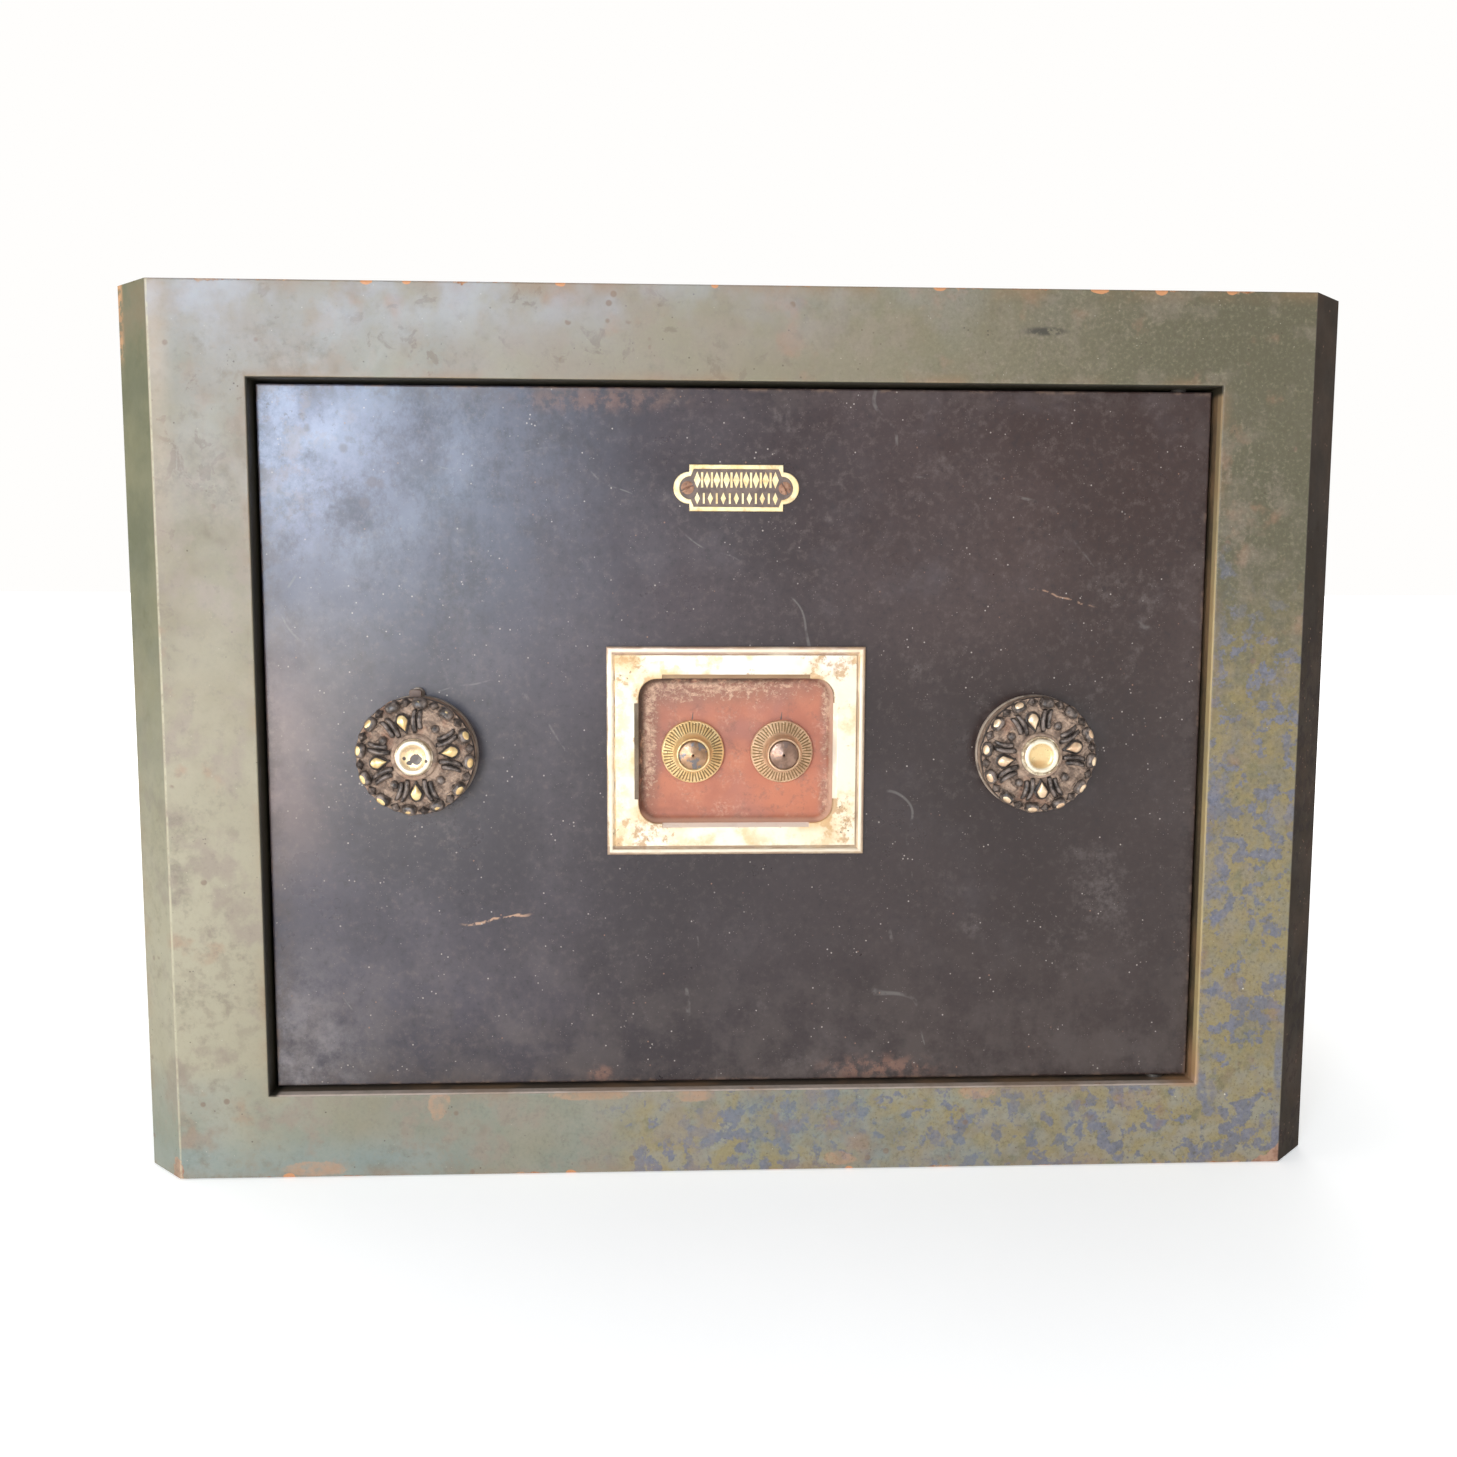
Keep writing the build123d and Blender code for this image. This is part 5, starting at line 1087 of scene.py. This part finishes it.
# ---- combination dials ----------------------------------------------------------------
def dial(side, mat, seed, strokes=54):
    place = DIALS[side]
    rnd = np.random.RandomState(seed)
    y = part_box(side + "_dial")[1][1]
    count = strokes * 14
    angle = round_angles(count)
    profile = [(7.7, 16.8), (7.75, 17.4), (8.0, 17.8), (8.6, 17.7), (8.85, 17.2), (8.9, 15.6),
        (9.0, 13.4), (9.15, 10.8), (9.35, 8.9), (9.7, 7.6), (10.2, 6.7), (10.8, 6.1)]
    profile += [(10.8 + (16.2 - 10.8) * f, 6.1 - 3.0 * f) for f in np.linspace(0.05, 1, 22)]
    profile += [(16.5, 2.9), (16.7, 2.4), (16.8, 1.9), (16.8, 0.7), (16.2, 0.1)]
    starts = rnd.uniform(10.2, 11.0, strokes)
    ends = rnd.uniform(15.9, 16.5, strokes)
    tilt = rnd.uniform(-0.16, 0.16, strokes)
    deep = rnd.uniform(0.7, 1.0, strokes)
    ties = rnd.choice([12.2, 13.5, 15.0, 99.0], strokes)
    index = (np.arange(count) * strokes // count) % strokes
    across = (np.arange(count) * strokes / count) % 1.0 - 0.5
    rings, marks = [], []
    for r, h in profile:
        slot = unit(1 - ((across + tilt[index] * (r - 13.5) / 3) / 0.27) ** 2)
        inside = unit((r - starts[index]) / 0.5) * unit((ends[index] - r) / 0.4)
        cut = slot ** 0.5 * inside * deep[index]
        # short strokes that tie every second stroke to the next
        for tied, half in ((index, (across > 0) * (index % 2 == 0)),
                (index - 1, (across < 0) * (index % 2 == 1))):
            tie = unit(1 - np.abs(r - ties[tied]) / 0.42) * half
            cut = np.maximum(cut, tie * 0.8)
        rings.append(circle(place, y, r, angle, h - 0.34 * cut))
        marks.append(cut)
    seat = [circle(place, y, r, angle, 16.8) for r in (0.5, 4.0)]
    mesh = grid_mesh(side + "_dial_ring", seat + rings,
        attributes={"mark": [np.zeros(count)] * 2 + marks})
    piece(side + "_dial_ring", mesh, side + "_dial_set", [mat], (side + "_dial",), 40)
    button = side + "_dial_button"
    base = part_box(button)[1][1]
    turned(side + "_dial_tip", place, base, [(0.25, 1.75), (0.55, 2.35), (0.95, 2.6), (1.5, 2.45),
        (3.5, 1.95), (5.6, 1.45), (6.9, 1.15), (7.35, 0.9), (7.55, 0.5), (7.6, 0.0)],
        side + "_dial_set", ["copper_button" if side == "left" else "brown_button"], (button,), 72,
        40, mark=lambda r: 1.0 if r < 0.5 else 0.0)


dial("left", "brass", 3)
dial("right", "dull_brass", 4)


# ---- escutcheon, pan and index marks ---------------------------------------------------
def rounded_rect(half_w, half_h, radius, arc, stops=None, inset=0.0):
    """Points anticlockwise round a rounded rectangle. With stops, each straight steps outwards
    by inset between two doubled points, where a stopped chamfer runs."""
    points = []
    corners = ((1, -1, -90), (1, 1, 0), (-1, 1, 90), (-1, -1, 180))
    outwards = ((1, 0), (0, 1), (-1, 0), (0, -1))
    for k, (sx, sz, start) in enumerate(corners):
        cx, cz = sx * (half_w - radius), sz * (half_h - radius)
        for i in range(arc + 1):
            a = math.radians(start + 90 * i / arc)
            points.append((cx + radius * math.cos(a), cz + radius * math.sin(a)))
        if stops:
            out, along = outwards[k], outwards[(k + 1) % 4]
            edge = (half_w, half_h)[k % 2]
            for way, step in ((-1, 0.0), (-1, inset), (1, inset), (1, 0.0)):
                points.append(tuple(out[i] * (edge + step) + along[i] * stops[k % 2] * way
                    for i in range(2)))
    return points


def ring(bm, place, y, points, h):
    """New vertices at points in millimetres from a place, h towards the viewer."""
    return [bm.verts.new((place[0] + u * MM, y - h * MM, place[2] + v * MM)) for u, v in points]


def join(bm, a, b, slot=0):
    """Quads from one ring of vertices to the next."""
    for j in range(len(a)):
        k = (j + 1) % len(a)
        bm.faces.new((b[j], a[j], a[k], b[k])).material_index = slot


def fill_between(bm, outer, inner):
    """Fills the flat ring between two closed loops of vertices."""
    edges = []
    for loop in (outer, inner):
        for a, b in zip(loop, loop[1:] + loop[:1]):
            if a is not b:
                edges.append(bm.edges.get((a, b)) or bm.edges.new((a, b)))
    bmesh.ops.triangle_fill(bm, use_beauty=True, use_dissolve=False, edges=edges,
        normal=(0, -1, 0))


def escutcheon():
    half_w, half_h = size("escutcheon_frame", 0) / 2 / MM, size("escutcheon_frame", 2) / 2 / MM
    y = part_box("escutcheon_frame")[1][1]
    tall = size("escutcheon_frame", 1) / MM
    field = tall - 0.75
    bm = bmesh.new()
    # the moulded border: a half-round bead and a groove, swept round the rectangle
    profile = [(0.0, 0.0), (0.0, tall - 1.3), (0.15, tall - 0.75), (0.5, tall - 0.3),
        (1.1, tall - 0.05), (1.8, tall), (2.6, tall - 0.12), (3.2, tall - 0.45),
        (3.6, tall - 0.95), (3.95, tall - 1.2), (4.3, tall - 1.0), (4.6, field)]
    loops = []
    for inset, h in profile:
        w, d = half_w - inset, half_h - inset
        loops.append(ring(bm, ESC, y, [(w, -d), (w, d), (-w, d), (-w, -d)], h))
    for a, b in zip(loops, loops[1:]):
        join(bm, a, b)
    # the opening, whose straight edges have a chamfer that stops short of the corners
    chamfer = 2.3
    stops = (OPEN_H - 13, OPEN_W - 12.5)
    rim = rounded_rect(OPEN_W, OPEN_H, OPEN_R, 10, stops, chamfer)
    wall = rounded_rect(OPEN_W, OPEN_H, OPEN_R, 10, stops, 0.0)
    rings = [ring(bm, ESC, y, points, h) for points, h in ((rim, field), (wall, field - chamfer),
        (wall, 0.0))]
    for a, b in zip(rings, rings[1:]):
        join(bm, a, b)
    fill_between(bm, loops[-1], rings[0])
    bmesh.ops.remove_doubles(bm, verts=bm.verts, dist=1e-6)
    bmesh.ops.recalc_face_normals(bm, faces=bm.faces)
    round_edges(piece("escutcheon", made_mesh("escutcheon", bm), "door", ["bright_escutcheon"],
        ("escutcheon_frame",), 0.0), 0.22 * MM, 38, 32)


escutcheon()


def dial_pan():
    """The sunk red pan, whose floor lies just behind the dials."""
    y = DOOR_LOW[1]
    depth = (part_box("left_dial")[1][1] - y) / MM + 0.3
    steps = [(0.35, -0.2), (0.1, 0.4), (0.35, 1.6), (0.9, 3.2), (1.5, 4.6), (2.2, 5.7), (3.1, 6.3),
        (4.4, 6.62), (6.2, depth)]
    bm = bmesh.new()
    rings = []
    for inset, down in steps:
        points = rounded_rect(OPEN_W - inset + 0.3, OPEN_H - inset + 0.3,
            max(OPEN_R - inset * 0.4, 3.0), 12)
        rings.append(ring(bm, ESC, y, points, -min(down, depth)))
    for a, b in zip(rings, rings[1:]):
        join(bm, a, b)
    bm.faces.new(rings[-1])
    # a rim behind the escutcheon, closing the gap to the pocket in the door
    join(bm, ring(bm, ESC, y, rounded_rect(54.6, 40.6, 11.0, 12), 0.2), rings[0])
    bmesh.ops.recalc_face_normals(bm, faces=bm.faces)
    for face in bm.faces:
        if len(face.verts) > 4 and face.normal.y > 0:
            bmesh.ops.reverse_faces(bm, faces=bm.faces)
            break
    piece("dial_recess", made_mesh("dial_recess", bm), "door", ["red_paint"], ("dial_pan",), 40)


dial_pan()


def index_marks():
    """A fine scratched line above each dial."""
    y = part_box("left_dial")[1][1] + 0.3 * MM
    bm = bmesh.new()
    for place in DIALS.values():
        line = [(-0.3, 17.0, 0.42), (-0.05, 18.8, 0.3), (0.22, 21.2, 0.12)]
        left, right = [ring(bm, place, y, [(u + way * wide, v) for u, v, wide in line], 0.06)
            for way in (-1, 1)]
        for i in range(2):
            bm.faces.new((left[i], right[i], right[i + 1], left[i + 1]))
    mesh = made_mesh("index_marks", bm)
    piece("index_marks", mesh, "door", ["plate_field"], (), 0.0)


index_marks()


# ---- nameplate ------------------------------------------------------------------------
def plate_outline(half_w, half_h, ear, ear_x):
    """Anticlockwise outline of a plate with a round ear at each end."""
    points = []
    reach = math.degrees(math.acos(min(1.0, max(0.0, (half_w - ear_x) / ear))))
    for side in (1, -1):
        points.append((side * half_w, -side * half_h))
        for i in range(17):
            a = math.radians((0 if side > 0 else 180) - reach + 2 * reach * i / 16)
            points.append((side * ear_x + ear * math.cos(a), ear * math.sin(a)))
        points.append((side * half_w, side * half_h))
    return points


def nameplate():
    half_w, half_h = 24.5, size("nameplate", 2) / 2 / MM  # of its straight part
    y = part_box("nameplate")[1][1]
    tall = size("nameplate", 1) / MM
    field = tall - 0.65
    ear = size("nameplate", 0) / 2 / MM - half_w
    rim = 2.3
    bm = bmesh.new()
    steps = [(0.0, 0.0), (0.0, tall - 0.3), (0.3, tall), (rim - 0.25, tall),
        (rim, tall - 0.25), (rim + 0.1, field)]
    rings = []
    for inset, h in steps:
        points = plate_outline(half_w - inset, half_h - inset, ear - inset, half_w - inset * 0.35)
        rings.append(ring(bm, PLATE, y, points, h))
    for i, (a, b) in enumerate(zip(rings, rings[1:])):
        join(bm, a, b, int(i == 4))
    bm.faces.new(rings[-1]).material_index = 1
    bmesh.ops.recalc_face_normals(bm, faces=bm.faces)
    # two rows of raised ornament where the real plate has its lettering
    def raised(points):
        base = ring(bm, PLATE, y, points, field - 0.05)
        top = ring(bm, PLATE, y, points, field + 0.42)
        join(bm, base, top)
        bm.faces.new(top)

    def lozenge(u, v, w, d):
        raised([(u + w, v), (u, v + d), (u - w, v), (u, v - d)])

    def bar(u, v, w, d):
        raised([(u - w, v - d), (u + w, v - d), (u + w, v + d), (u - w, v + d)])

    for k in range(9):
        u = -20.4 + 5.1 * k
        lozenge(u, 4.1, 1.75, 4.3)
        if k < 8:
            bar(u + 2.55, 4.1, 0.55, 3.9)
    for k in range(13):
        u = -20.4 + 3.4 * k
        lozenge(u, -5.4, 1.35, 3.1) if k % 2 == 0 else bar(u, -5.4, 0.5, 2.7)
    mesh = made_mesh("plate", bm)
    piece("plate", mesh, "door", ["plate_brass", "plate_field"], ("nameplate",), 30)


nameplate()


def screws():
    """Domed, slotted screw heads in the plate's ears."""
    low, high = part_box("nameplate_screws")
    y = front("nameplate") + 0.9 * MM
    angle = round_angles(64)
    radius = 3.35
    for name, x, turn in (("plate_screw_left", low[0] + radius * MM, 25.0),
            ("plate_screw_right", high[0] - radius * MM, 118.0)):
        place = [x, 0, PLATE[2]]
        rings = []
        for f in np.concatenate([np.linspace(0.03, 0.96, 26), [1.0, 1.02, 1.02]]):
            u, v = radius * f * np.cos(angle), radius * f * np.sin(angle)
            s = -u * math.sin(math.radians(turn)) + v * math.cos(math.radians(turn))
            h = 1.15 * np.sqrt(unit(1 - (min(f, 1.0) * 0.93) ** 2))
            h = h - 0.75 * unit(1.6 - np.abs(s) / 0.3) * (f < 1)
            rings.append(on_front(place, y, u, v, 0.15 if f >= 1.02 else h))
        rings[-1][:, 1] += 1.6 * MM
        obj = piece(name, grid_mesh(name, rings), "door", ["rusty_screw"], (), 35)
        if name.endswith("left"):
            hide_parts("nameplate_screws")


screws()


# ---- softened CAD shapes ---------------------------------------------------------------
for node, body, mat, width in (
        ("front_frame", "safe_body", "frame_paint", 0.9),
        ("door_plate", "door", "door_paint", 0.6),
        ("outer_casing", "safe_body", "casing_paint", 1.2),
        ("keyhole_ring", "door", "ring_iron", 0.3),
        ("knob_base_ring", "door", "ring_iron", 0.3),
        ("anchor_lugs", "safe_body", "casing_paint", 0.6)):
    softened(node, body, mat, width * MM)


# ---- stage, light and camera -----------------------------------------------------------
def floor():
    """A pale floor that glows a little, more so far from the safe."""
    mesh = bpy.data.meshes.new("floor")
    reach, z = 40.0, -0.0005
    mesh.from_pydata([(-reach, -reach, z), (reach, -reach, z), (reach, reach, z),
        (-reach, reach, z)], [], [(0, 1, 2, 3)])
    m = Mat("floor_pale", rough=0.9)
    m.set("Base Color", m.mix(m.blots(0.3, 0.7, 3, 3), (0.9, 0.9, 0.895), (0.93, 0.93, 0.925)))
    m.set("Emission Color", (1.0, 1.0, 1.0))
    m.set("Emission Strength", m.span(m.hypot(m.x, m.y), 0.5, 2.2, 0.37, 0.9))
    mesh.materials.append(MATS["floor_pale"])
    added("floor", mesh)


floor()


def area(name, at, target, width, height, power, colour):
    data = bpy.data.lights.new(name, "AREA")
    data.shape = "RECTANGLE"
    data.size, data.size_y = width, height
    data.energy = power
    data.color = colour
    obj = added(name, data)
    obj.location = at
    aim = Vector(target) - Vector(at)
    obj.rotation_euler = aim.to_track_quat("-Z", "Y").to_euler()


area("window", (-0.58, -1.65, 0.58), (-0.22, -0.15, 0.4), 0.42, 0.42, 10.5, (0.62, 0.8, 1.0))
area("warm_window", (-0.72, -1.62, 0.1), (-0.28, -0.15, 0.2), 0.42, 0.46, 7.5, (1.0, 0.89, 0.78))
area("side", (-1.35, -0.6, 0.1), (-0.28, -0.15, 0.12), 0.5, 0.6, 6.0, (1.0, 0.93, 0.8))
area("top", (-0.5, -1.0, 1.9), (0.0, 0.0, 0.2), 1.4, 1.4, 1.5, (1.0, 0.985, 0.96))
area("behind", (0.4, 1.9, 1.2), (0.0, 0.1, 0.25), 1.8, 1.4, 14.0, (1.0, 0.99, 0.97))

scene = bpy.context.scene
scene.world = bpy.data.worlds.new("studio")
scene.world.use_nodes = True
sky = Nodes(scene.world.node_tree)
right, away, _ = sky.split(sky.node("ShaderNodeTexCoord").outputs["Generated"])
# white behind the safe, softer on the left and dim on the right, as in a room lit from one side
behind = sky.span(sky.math("MULTIPLY_ADD", right, -0.55, away), -0.4, 0.55)
backdrop = sky.tree.nodes["Background"].inputs
sky.put(backdrop["Strength"], sky.most(behind, sky.span(right, -0.9, 0.6, 0.64, 0.5)))
sky.put(backdrop["Color"], (1.0, 0.99, 0.975))

scene.view_settings.view_transform = "Standard"
scene.view_settings.look = "None"
# the camera fitted to the corners of the frame, slopes, opening and door in the photograph
EYE = (-0.03858, -0.88249, 0.31717)
LOOK = (0.04453195, 0.99349154, -0.10484017)
UP = (0.0016833, 0.1048697, 0.9944846)
LENS = 34.017  # mm, for a sensor 36 mm wide
camera = added("camera", bpy.data.cameras.new("camera"))
look = Vector(LOOK).normalized()
aside = look.cross(Vector(UP).normalized()).normalized()
above = aside.cross(look)
camera.matrix_world = Matrix([(aside[i], above[i], -look[i], EYE[i]) for i in range(3)]
    + [(0, 0, 0, 1)])
camera.data.sensor_width, camera.data.lens = 36.0, LENS
camera.data.clip_start, camera.data.clip_end = 0.02, 60.0
scene.camera = camera
